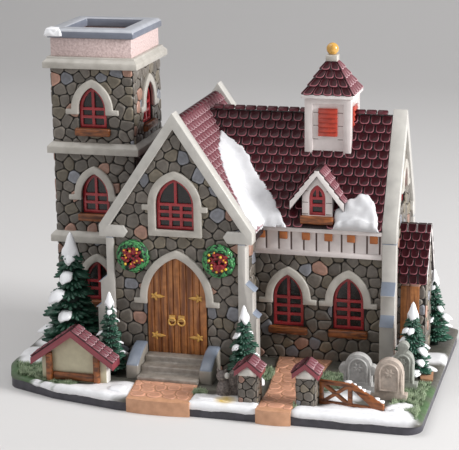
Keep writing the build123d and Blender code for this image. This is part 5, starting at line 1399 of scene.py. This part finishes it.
class CHAPEL_OT_door(bpy.types.Operator):
    """Finish the doors, their gilded fittings and the wreaths"""

    bl_idname = "chapel.door"
    bl_label = "Doors and wreaths"

    def execute(self, context):
        softened("entrance_door", 0.25, "door", "doors")
        softened("porch_door", 0.4, "door", "doors")
        dressed("gold", "door_rings", "cupola_ball")
        # Wreath body under the leaves: painted shade
        dressed("core", "door_wreaths")
        self.hinges()
        self.wreaths()
        return {"FINISHED"}

    def wreaths(self):
        """Leaves round each wreath, with ribbons and berries inside."""
        leaves, berries = [], []
        ribbons = Skin()
        chance = random.Random(4)
        front = -BACK
        for out in (-1, 1):
            middle = Vector((ENTRANCE_X + out * WREATHS[0], ENTRANCE_FRONT - 1.3, WREATHS[1]))
            for i in range(WREATH_LEAVES):
                around = chance.uniform(0, math.tau)
                spin = chance.uniform(-0.2, 2.0)
                radial = upright_way(around)
                lift = radial * math.cos(spin) + front * max(0.0, math.sin(spin))
                spot = middle + radial * WREATH_RING + lift * 2.2
                tangent = Vector((-radial.z, 0, radial.x))
                way = (tangent * chance.choice((-1, 1)) + lift * 0.5 + radial * 0.5).normalized()
                leaves.append((spot, turned(lift.cross(way), lift), (0.55, 0.55, 0.55)))
            for i in range(WREATH_RIBBONS):
                radial = upright_way(chance.uniform(0, math.tau))
                tangent = Vector((radial.z, 0, -radial.x))
                root = middle + radial * chance.uniform(1.6, 4.6) + front * chance.uniform(2.0, 3.0)
                way = radial * chance.uniform(-0.4, 1) + tangent * chance.uniform(-1, 1)
                lobe(ribbons, root, way, 3.2, 0.9)
            for i in range(WREATH_BERRIES):
                radial = upright_way(math.tau * i / WREATH_BERRIES + chance.uniform(-0.2, 0.2))
                spot = middle + radial * chance.uniform(3.0, 6.2) + front * 3.1
                berries.append((spot, Quaternion(), (0.7, 0.7, 0.7)))
        scattered("wreath_leaves", leaves, leaf_shape(4.6), "leaf", "foliage", (0.8, 1.2), 8)
        scattered("wreath_berries", berries, berry_shape(), "berry", "gilding", (0.8, 1.2), 9)
        ribbons.show("wreath_ribbons", "ribbon", "gilding")

    def hinges(self):
        """Hinge plates: a long leaf, and two short ones on either side of its root."""
        skin = Skin()
        for out in (-1, 1):
            for z in HINGE_HEIGHTS:
                root = Vector((ENTRANCE_X + out * HINGE_ROOT[0], HINGE_ROOT[1], z))
                lobe(skin, root, Vector((-out, 0, 0)), 6.0, 1.1)
                for lean in (-1, 1):
                    lobe(skin, root, Vector((-out * 0.55, 0, lean)), 2.9, 0.8)
                    lobe(skin, root, Vector((out, 0, lean * 0.7)), 2.4, 0.8)
        skin.show("hinge_leaves", "gold", "gilding", ("door_hinges",))


def lobe(skin, root, way, long, width):
    """Adds one flattened drop that starts at a root and runs one way."""
    way = way.normalized()
    side = way.cross(BACK).normalized()
    front = side.cross(way)
    rings = []
    for i in range(7):
        share = i / 6
        fat = math.sin(math.pi * min(0.97, max(0.06, share)) ** 0.8) * width
        ring = [side * (fat * c) + front * (fat * 0.5 * s) for c, s in arc(8)]
        rings.append([root + way * (long * share) + across for across in ring])
    skin.add(rings)


def leaf_shape(size):
    """Ridged leaf that bends down to its tip, running along local y."""
    skin = Skin()
    rings = []
    for y, half, z in ((0.0, 0.22, 0.0), (0.3, 0.34, 0.10), (0.65, 0.27, 0.07), (1.0, 0.03, -0.08)):
        edge = ((half, -0.3), (0, 0.35), (-half, -0.3), (0, -0.5))
        rings.append([(u * size, y * size, (z + v * half) * size) for u, v in edge])
    skin.add(rings)
    return skin.mesh("leaf")


def berry_shape():
    """Small round berry."""
    shape = bmesh.new()
    bmesh.ops.create_icosphere(shape, subdivisions=2, radius=1.0 * MM)
    mesh = bpy.data.meshes.new("berry")
    shape.to_mesh(mesh)
    shape.free()
    return smoothed(mesh)


def lump_shape():
    """Uneven round lump of snow."""
    mesh = berry_shape()
    for vert in mesh.vertices:
        vert.co += vert.co * (0.4 * noise.noise(vert.co / MM * 1.6))
    tinted(mesh, "POINT", [snow_colour()] * len(mesh.vertices))
    return mesh


def hood_shape():
    """Cone of snow on a tree's tip, with a wavy lower edge."""
    skin = Skin()
    rings = []
    for z, radius in ((-0.1, 0.2), (-0.05, 0.38), (0.15, 0.35), (0.5, 0.23), (0.85, 0.12), (1.0, 0.03)):
        ring = []
        for i, (c, s) in enumerate(arc(18)):
            drip = 0.22 * math.sin(3 * (math.tau * i / 18) + 0.6) * (1 - z) if z < 0.4 else 0.0
            ring.append((radius * c, radius * s, z - drip))
        rings.append(ring)
    skin.add(rings)
    skin.wash(snow_colour())
    return skin.mesh("snow_hood")


def bough_shape():
    """Drooping bough: five blunt fingers of needles that spread from one root, lighter to their tips."""
    settings = bpy.context.scene.chapel_garden
    dark, light = Vector(settings.needle), Vector(settings.tip)
    skin = Skin()
    fats = (0.20, 0.20, 0.17, 0.06)
    for finger in range(-2, 3):
        spread = finger * 0.36
        reach = 1.0 - 0.12 * abs(finger)
        ahead = Vector((math.sin(spread), math.cos(spread), 0))
        side = Vector((ahead.y, -ahead.x, 0))
        rings, tints = [], []
        for ring, fat in enumerate(fats):
            t = ring / (len(fats) - 1)
            centre = ahead * (t * reach) + UP * (0.14 * t * t - 0.06 * math.sin(math.pi * t))
            rings.append([centre + side * (fat * c) + UP * (0.8 * fat * s) for c, s in arc(4)])
            # Painted shade deep in the bough, painted highlight towards the tip and on the upper side
            tints += [tuple(dark.lerp(light, t * (0.5 + 0.5 * max(0.0, s)))) for c, s in arc(4)]
        skin.add(rings, tints)
    return skin.mesh("bough")


class CHAPEL_OT_trees(bpy.types.Operator):
    """Grow the conifers: drooping boughs in tiers round a core dark with painted shade, with snow on them
    """

    bl_idname = "chapel.trees"
    bl_label = "Trees"

    def execute(self, context):
        chance = random.Random(21)
        tiers = context.scene.chapel_garden.tiers
        for node, trees in TREES.items():
            boughs, lumps, hoods = [], [], []
            core = Skin()
            for x, y, height, spread in trees:
                self.core(core, x, y, height, spread)
                self.grow(boughs, lumps, x, y, height, spread, tiers, chance)
                top = Vector((x, y, GROUND + height - spread * 0.74))
                hoods.append((top, Quaternion(UP, chance.uniform(0, 3)), [spread * 0.76] * 3))
            core.show(node + "_core", "core", "foliage", (node,))
            scattered(node + "_boughs", boughs, bough_shape(), "needle", "foliage", (0.9, 1.12), 31)
            scattered(node + "_snow", lumps, lump_shape(), "snow", "snow", (0.8, 1.25), 33)
            scattered(node + "_hoods", hoods, hood_shape(), "snow", "snow", seed=33)
        return {"FINISHED"}

    def core(self, skin, x, y, height, spread):
        """Inside of one tree, down to the ground, dark with painted shade."""
        middle = (height * 0.5, spread * 0.34)
        levels = ((0.0, 3.0), (3.0, 3.0), (4.5, spread * 0.62), middle, (height - 3.0, 0.6))
        skin.add([[(x + r * c, y + r * s, GROUND + z) for c, s in arc(20)] for z, r in levels])

    def grow(self, boughs, lumps, x, y, height, spread, tiers, chance):
        """Boughs from the lowest tier to the tip, two rings to a tier, and snow on some of them."""
        spacing = (height - 9.0) / tiers
        for tier in range(tiers):
            for ring in (0, 1):
                share = (tier + 0.5 * ring) / tiers
                reach = spread * (1 - share) ** 0.66 * (1 - 0.12 * ring)
                size = min(spread * 0.62 * (1 - 0.4 * share), reach * 1.3 + 1.0)
                z = GROUND + 3.5 + spacing * (tier + 0.5 * ring)
                if z > GROUND + height - spread * 0.8:
                    continue
                count = max(5, round(math.tau * reach / (size * 0.9)))
                droop = 0.3 + 0.8 * share
                for i in range(count):
                    angle = math.tau * (i + chance.uniform(-0.25, 0.25)) / count + tier * 0.7 + ring
                    out = level_way(angle)
                    way = (out - UP * (droop + chance.uniform(-0.15, 0.15))).normalized()
                    over = (UP + out * droop).normalized()
                    tip = Vector((x, y, z)) + out * (reach * chance.uniform(0.8, 1.1))
                    root = tip - way * size
                    turn = turned(way.cross(over), over)
                    boughs.append((root, turn, (size, size, size * 1.3)))
                    if ring == 0 and chance.random() < 0.2:
                        spot = root + way * (size * 0.7) + over * (size * 0.19)
                        lumps.append((spot, turn, (size * 0.46, size * 0.5, size * 0.17)))
        for i in range(5):
            out = level_way(i * 1.26)
            way = (out * 0.45 - UP).normalized()
            over = (out + UP * 0.45).normalized()
            root = Vector((x, y, GROUND + height - spread * 0.72))
            boughs.append((root, turned(way.cross(over), over), [spread * 0.4] * 3))


# Garden, seen from above
BASE_CORNERS = (
    (-118, -36), (-110, -56), (-82, -67), (-42, -75.4), (118, -75.4), (118, 78), (-98, 78), (-118, 58),
)
BASE_ROUND = 5
PATHS = (
    [(-37.1, -78), (-2.7, -78), (-5.7, -50), (-40.1, -50)],
    [(32.8, -78), (51.2, -78), (51.2, -48), (57.2, 4), (26.8, 4), (32.8, -48)],
    [(92.8, 16.5), (92.8, 8.5), (106.5, -2), (109, -14), (115.5, -14), (113.5, 4), (103.2, 16.5)],
)
FLAGGED = (
    [(-36.6, -73.2), (-3.2, -73.2), (-6.2, -50.2), (-39.6, -50.2)],
    [(33.1, -73.2), (50.9, -73.2), (50.9, -48), (33.1, -48)],
    [(33.1, -48), (50.9, -48), (56.8, 3.6), (27.2, 3.6)],
    [(93.2, 16.2), (93.2, 8.5), (106.5, -1.5), (113, 4), (102.8, 16.2)],
)
PLANTED = [(-115, -36), (-107, -54), (-80, -64), (-42, -72), (115, -72), (115, 75), (-97, 75)]
SNOW_ZONES = (
    (-93, -63, 4), (-86, -66, 5), (-77, -69, 7), (-66, -70, 11), (-54, -69, 15), (-46, -64, 14),
    (2, -70, 12), (14, -69, 14), (27, -72, 10), (60, -72, 11), (74, -70, 14), (88, -71, 15), (104, -70, 13),
    (-66, -40, 10), (72, -48, 12), (90, -34, 14), (106, -55, 7), (110, 20, 12), (-105, 0, 14),
    (-112, -20, 12), (-108, -30, 9),
)
GRASS_ZONES = (
    (-104, -42, 20), (-96, -54, 14), (-82, -60, 12), (113, -52, 14), (113, -30, 12), (113, -66, 8),
    (60, -30, 16), (20, -25, 12), (-3, -62, 6), (54, -66, 6),
)
STAIN = (15.0, -68.0, 7.0)
PATH_TOP = 1.2
# Flagstones as width, height and joint
FLAGSTONE = (8.0, 6.6, 0.45)
FLAGSTONE_PROUD = 0.25
# Gravestones as middle, front face, half width and shoulder height
CARVED = ((79.0, -38.6, 7.5, 14.0), (97.0, -47.0, 7.5, 15.5), (101.5, -30.0, 5.75, 16.0))
# Fence: foot of its first and last post, its rail's top and slope, snow on it as distance along and drop
FENCE = (Vector((63.0, -57.5, GROUND)), Vector((97.6, -61.5, GROUND)))
RAIL_TOP = 13.7
RAIL_FALL = (19.3, 9.5)
RAIL_SNOW = ((15.5, 0.2), (18.0, 1.4), (20.6, 2.7), (23.0, 3.9), (30.5, 7.6), (33.0, 8.8))
END_SNOW = ((101.0, -61.0, 3.4), (104.5, -62.5, 3.0), (101.5, -58.0, 2.6))


def base_outline():
    """Outer line of the base, finely divided, in millimetres."""
    line = []
    count = len(BASE_CORNERS)
    for i in range(count):
        before, at, after = (Vector(BASE_CORNERS[k]) for k in (i - 1, i, (i + 1) % count))
        start = at + (before - at).normalized() * BASE_ROUND
        end = at + (after - at).normalized() * BASE_ROUND
        for j in range(7):
            t = j / 6
            line.append(start * (1 - t) ** 2 + at * (2 * t * (1 - t)) + end * t**2)
    fine = []
    for i, point in enumerate(line):
        after = line[(i + 1) % len(line)]
        steps = max(1, int((after - point).length / 2.0))
        fine += [point.lerp(after, j / steps) for j in range(steps)]
    return fine


def inside(u, v, shape):
    """Whether a point is inside an outline."""
    found = False
    for i, (x, y) in enumerate(shape):
        px, py = shape[i - 1]
        if (y > v) != (py > v) and u < (px - x) * (v - y) / (py - y) + x:
            found = not found
    return found


def on_paths(u, v):
    """Whether a point is on one of the paths."""
    return any(inside(u, v, path) for path in PATHS)


def zone(u, v, spots):
    """How much a point belongs to a group of round patches, from 0 to 1."""
    most = max(1.0 - math.hypot(u - x, v - y) / radius for x, y, radius in spots)
    return limited(most * 2.0)


def snow_tint(u, v):
    """White snow, stained yellow beside the squirrel."""
    stain = zone(u, v, (STAIN,)) * (0.7 + 0.5 * noise.noise(Vector((u * 0.5, v * 0.5, 1))))
    return tuple(snow_colour().lerp(Vector(colour("e0b93f")), limited(stain)))


def grave_tint(normal, centre):
    """Each gravestone has its own grey."""
    if centre.x < 90:
        return colour("b3b2af")
    return colour("c4b5a8") if centre.y < -36 else colour("a2a49c")


class CHAPEL_OT_garden(bpy.types.Operator):
    """Shape the ground, paving, snow banks, grass and the small garden pieces"""

    bl_idname = "chapel.garden"
    bl_label = "Garden"

    def execute(self, context):
        dressed("rim", "base_plate")
        self.ground()
        self.paving()
        self.fence_snow()
        self.grass(context.scene.chapel_garden.tufts)
        melted("snow_drifts", 0.7, 60, 1.0, "snow", "snow", 8, lambda spot: snow_tint(spot.x, spot.y))
        softened("sign_board", 0.5, "edged", "sign_face", SIGN_BOARD)
        softened("sign_posts", 0.6, "log", "logs")
        softened("garden_fence", 0.45, "log", "logs")
        softened("gravestones", 0.7, "grave", "gravestone", grave_tint)
        self.carving()
        self.squirrel()
        return {"FINISHED"}

    def carving(self):
        """Raised band round each gravestone's face, a flower in it and a pillar on either side."""
        skin = Skin()
        for x, face, half, shoulder in CARVED:
            place = on_face("front", face)
            outer = half * 0.72
            inner = outer - 1.1
            rings = []
            for radius, lift in ((outer, -0.3), (outer, 0.6), (inner, 0.6), (inner, -0.3), (outer, -0.3)):
                foot = GROUND + 5.0 + outer - radius
                shape = [(x + radius, foot)]
                shape += [(x + radius * c, GROUND + shoulder + radius * s) for c, s in arc(12, math.pi)]
                shape.append((x - radius, foot))
                rings.append([place(u, v, lift) for u, v in shape])
            skin.add(rings, closed=False)
            flower = Vector((x, face - 0.2, GROUND + shoulder))
            for i in range(6):
                lobe(skin, flower, upright_way(i * 1.05), half * 0.42, half * 0.12)
            for out in (-1, 1):
                lobe(skin, Vector((x + out * half * 0.86, face, GROUND + 4.5)), UP, shoulder - 3.5, 0.8)
            skin.wash(grave_tint(UP, Vector((x, face, 0))))
        skin.show("grave_carving", "grave", "gravestone")

    def squirrel(self):
        """Squirrel with two ears and a nut."""
        melted("garden_squirrel", 0.45, 3, 0.3, "fur", "animal", 2)
        head = Vector((*SQUIRREL, GROUND + 11.5))
        skin = Skin()
        for out in (-1, 1):
            lobe(skin, head + Vector((out * 1.5, 0.2, 1.6)), Vector((out * 0.4, 0, 1)), 3.0, 0.8)
        skin.show("squirrel_ears", "fur", "animal")
        place = (head + Vector((3.4, -1.8, 1.0)), Quaternion(), (1.5, 1.5, 1.8))
        scattered("squirrel_nut", [place], berry_shape(), "coping", "animal")

    def ground(self):
        """Uneven skin of earth, grass and snow that laps over the rim of the base."""
        line = base_outline()
        levels = [(1.0, "lip"), (1.0, "rim")]
        levels += [(1.0 - 0.013 * i - 0.0012 * i * i, "top") for i in range(1, 24)]
        grass, earth = Vector(colour("4f6b45")), Vector(colour("5e5b54"))
        rings, tints = [], []
        for share, part in levels:
            ring = []
            for point in line:
                out = point.normalized() * 0.35
                u, v = point.x * share, point.y * share
                rough = noise.noise(Vector((u * 0.12, v * 0.12, 0)))
                fine = noise.noise(Vector((u * 0.5, v * 0.5, 3)))
                white = zone(u, v, SNOW_ZONES) + 0.25 * rough
                tint = earth.lerp(grass, limited(zone(u, v, GRASS_ZONES) + 0.2 * fine))
                tints.append(tuple(tint.lerp(Vector(snow_tint(u, v)), limited(white * 1.8 - 0.3))))
                white = max(0.0, white)
                if part == "lip":
                    drop = 1.0 + 1.5 * abs(noise.noise(Vector((u * 0.07, v * 0.07, 9)))) + 0.3 * fine
                    ring.append((u + out.x, v + out.y, GROUND - max(0.6, drop + white)))
                elif part == "rim":
                    ring.append((u + out.x, v + out.y, GROUND - 0.5))
                else:
                    lift = 0.35 + 0.5 * max(0.0, rough) + 0.3 * fine + 1.3 * white
                    ring.append((u, v, GROUND + (0.05 if on_paths(u, v) else max(0.05, lift))))
            rings.append(ring)
        skin = Skin()
        skin.add(rings, tints)
        skin.show("garden_ground", "ground", "ground")

    def paving(self):
        """Flagstones on the three paths."""
        dressed("joint", "door_path", "garden_path", "side_path")
        chance = random.Random(17)
        skin = Skin()
        for number, region in enumerate(FLAGGED):
            for shape in cells(region, region, *FLAGSTONE, 60 + number):
                tint = tuple(Vector(colour("d59f83")) * chance.uniform(0.88, 1.1))
                pillow(shape, self.on_path, tint, FLAGSTONE_PROUD, chance, skin)
        skin.show("flagstones", "paving", "paving")

    def on_path(self, u, v, lift):
        """Point above a path."""
        return Vector((u, v, GROUND + PATH_TOP + lift))

    def fence_snow(self):
        """Snow on the fence's sloping rail, and a heap at its end."""
        start, end = FENCE
        along = (end - start).normalized()
        lean = turned(along * RAIL_FALL[0] - UP * RAIL_FALL[1], UP)
        places = []
        for far, drop in RAIL_SNOW:
            places.append((start + along * far + UP * (RAIL_TOP - drop), lean, (2.2, 1.5, 0.9)))
        for x, y, size in END_SNOW:
            places.append((Vector((x, y, GROUND + 1.0)), Quaternion(), (size * 1.2, size, size * 0.6)))
        scattered("fence_snow", places, lump_shape(), "snow", "snow", (0.95, 1.1), 12)

    def grass(self, tufts):
        """Tufts of grass in the green patches."""
        chance = random.Random(5)
        places = []
        tries = 0
        while len(places) < tufts and tries < tufts * 40:
            tries += 1
            x, y, radius = chance.choice(GRASS_ZONES)
            angle, far = chance.uniform(0, math.tau), radius * math.sqrt(chance.random())
            u, v = x + far * math.cos(angle), y + far * math.sin(angle)
            if not inside(u, v, PLANTED) or zone(u, v, SNOW_ZONES) > 0.4 or on_paths(u, v):
                continue
            spin = Quaternion(UP, chance.uniform(0, math.tau))
            places.append((Vector((u, v, GROUND + 0.3)), spin, [chance.uniform(0.7, 1.3)] * 3))
        scattered("grass_tufts", places, tuft_shape(), "grass", "ground", (0.8, 1.2), 6)


def tuft_shape():
    """Five short blades that lean apart."""
    skin = Skin()
    for i in range(5):
        out = level_way(math.tau * i / 5)
        side = Vector((-out.y, out.x, 0)) * 0.34
        first = len(skin.points)
        skin.points += [out * 0.2 + side, out * 0.2 - side, out * 0.5 + UP * 0.2, out * 1.1 + UP * 1.8]
        for corners in ((0, 1, 3), (1, 2, 3), (2, 0, 3), (2, 1, 0)):
            skin.faces.append(tuple(first + c for c in corners))
    return skin.mesh("tuft")


class CHAPEL_OT_lamp(bpy.types.Operator):
    """Finish the lamp in the rear wall"""

    bl_idname = "chapel.lamp"
    bl_label = "Lamp"

    def execute(self, context):
        dressed("plastic", "lamp_socket")
        dressed("steel", "lamp_clip")
        dressed("brass", "bulb_cap")
        dressed("glass", "bulb_glass")
        return {"FINISHED"}


# Camera angles in degrees, its place in millimetres, and lights as place in metres, size and power
CAMERA_TURN = (15.14, 15.23, -0.79)
CAMERA_PLACE = (223.5, -826.7, 316.7)
LENS = 126.35
AIM = Vector((0, 0, 0.07))
LIGHTS = {
    "key": ((1.1, -0.1, 0.5), 0.35, 18.5),
    "fill": ((-0.7, -0.9, 0.6), 0.9, 1.8),
    "top": ((-0.42, 0.0, 1.05), 0.9, 5.0),
}
SWEEP_BEND = 900


class CHAPEL_OT_stage(bpy.types.Operator):
    """Set the pale sweep, the lights and the camera"""

    bl_idname = "chapel.stage"
    bl_label = "Stage"

    def execute(self, context):
        self.sweep()
        self.camera(context)
        self.lights(context)
        context.scene.view_settings.view_transform = "Standard"
        return {"FINISHED"}

    def sweep(self):
        """Floor that curves up into the backdrop."""
        bend = SWEEP_BEND
        profile = [(-2500, 0)]
        profile += [(bend + bend * s, bend - bend * c) for c, s in arc(12, math.pi / 2)]
        profile.append((1800, 3500))
        skin = Skin()
        for y, z in profile:
            skin.points += [(-4000, y, z - 0.05), (4000, y, z - 0.05)]
        skin.faces = [(2 * i, 2 * i + 1, 2 * i + 3, 2 * i + 2) for i in range(len(profile) - 1)]
        mesh = skin.mesh("sweep")
        paper = {"Base Color": (0.68, 0.668, 0.66, 1), "Roughness": 0.75}
        mesh.materials.append(material_of("sweep_paper", {SHADER: (None, paper)}))
        loose("sweep", mesh)

    def camera(self, context):
        """Camera at the photograph's place."""
        data = bpy.data.cameras.new("camera")
        data.sensor_fit = "HORIZONTAL"
        data.sensor_width = 36.0
        data.lens = LENS
        data.clip_end = 20.0
        camera = loose("camera", data)
        a, e, r = (math.radians(angle) for angle in CAMERA_TURN)
        back = Vector((math.sin(a) * math.cos(e), -math.cos(a) * math.cos(e), math.sin(e)))
        right = level_way(a)
        up = back.cross(right)
        side = right * math.cos(r) + up * math.sin(r)
        top = up * math.cos(r) - right * math.sin(r)
        turn = Matrix((side, top, back)).transposed().to_4x4()
        camera.matrix_world = Matrix.Translation(Vector(CAMERA_PLACE) * MM) @ turn
        context.scene.camera = camera

    def lights(self, context):
        """Large key on the right, weak fill on the left and a soft even sky."""
        for name, (place, size, power) in LIGHTS.items():
            data = bpy.data.lights.new(name, "AREA")
            data.size = size
            data.energy = power
            lamp = loose(name, data)
            lamp.location = place
            lamp.rotation_euler = (AIM - lamp.location).to_track_quat("-Z", "Y").to_euler()
        world = bpy.data.worlds.new("studio")
        world.use_nodes = True
        wired(world.node_tree, {"Background": (None, {"Color": (0.9, 0.9, 0.92, 1), "Strength": 0.37})})
        context.scene.world = world


OPERATORS = (
    CHAPEL_OT_walls, CHAPEL_OT_trim, CHAPEL_OT_windows, CHAPEL_OT_roofs, CHAPEL_OT_door, CHAPEL_OT_trees,
    CHAPEL_OT_garden, CHAPEL_OT_lamp, CHAPEL_OT_stage,
)


class CHAPEL_PT_panel(bpy.types.Panel):
    """List of the chapel's pieces and their settings"""

    bl_idname = "CHAPEL_PT_panel"
    bl_label = "Chapel"
    bl_space_type = "VIEW_3D"
    bl_region_type = "UI"
    bl_category = "Chapel"

    def draw(self, context):
        for name, group in SETTINGS.items():
            settings = getattr(context.scene, name)
            for key in group.__annotations__:
                self.layout.prop(settings, key)
        for operator in OPERATORS:
            self.layout.operator(operator.bl_idname)


CLASSES = tuple(SETTINGS.values()) + OPERATORS + (CHAPEL_PT_panel,)


def register():
    """Adds the settings, the operators and the panel."""
    for item in CLASSES:
        bpy.utils.register_class(item)
    for name, group in SETTINGS.items():
        setattr(bpy.types.Scene, name, bpy.props.PointerProperty(type=group))


def unregister():
    """Takes them away again."""
    for name in SETTINGS:
        delattr(bpy.types.Scene, name)
    for item in reversed(CLASSES):
        bpy.utils.unregister_class(item)


def main():
    """Builds every piece in order."""
    register()
    for operator in OPERATORS:
        group, name = operator.bl_idname.split(".")
        getattr(getattr(bpy.ops, group), name)()


if __name__ == "__main__":
    main()
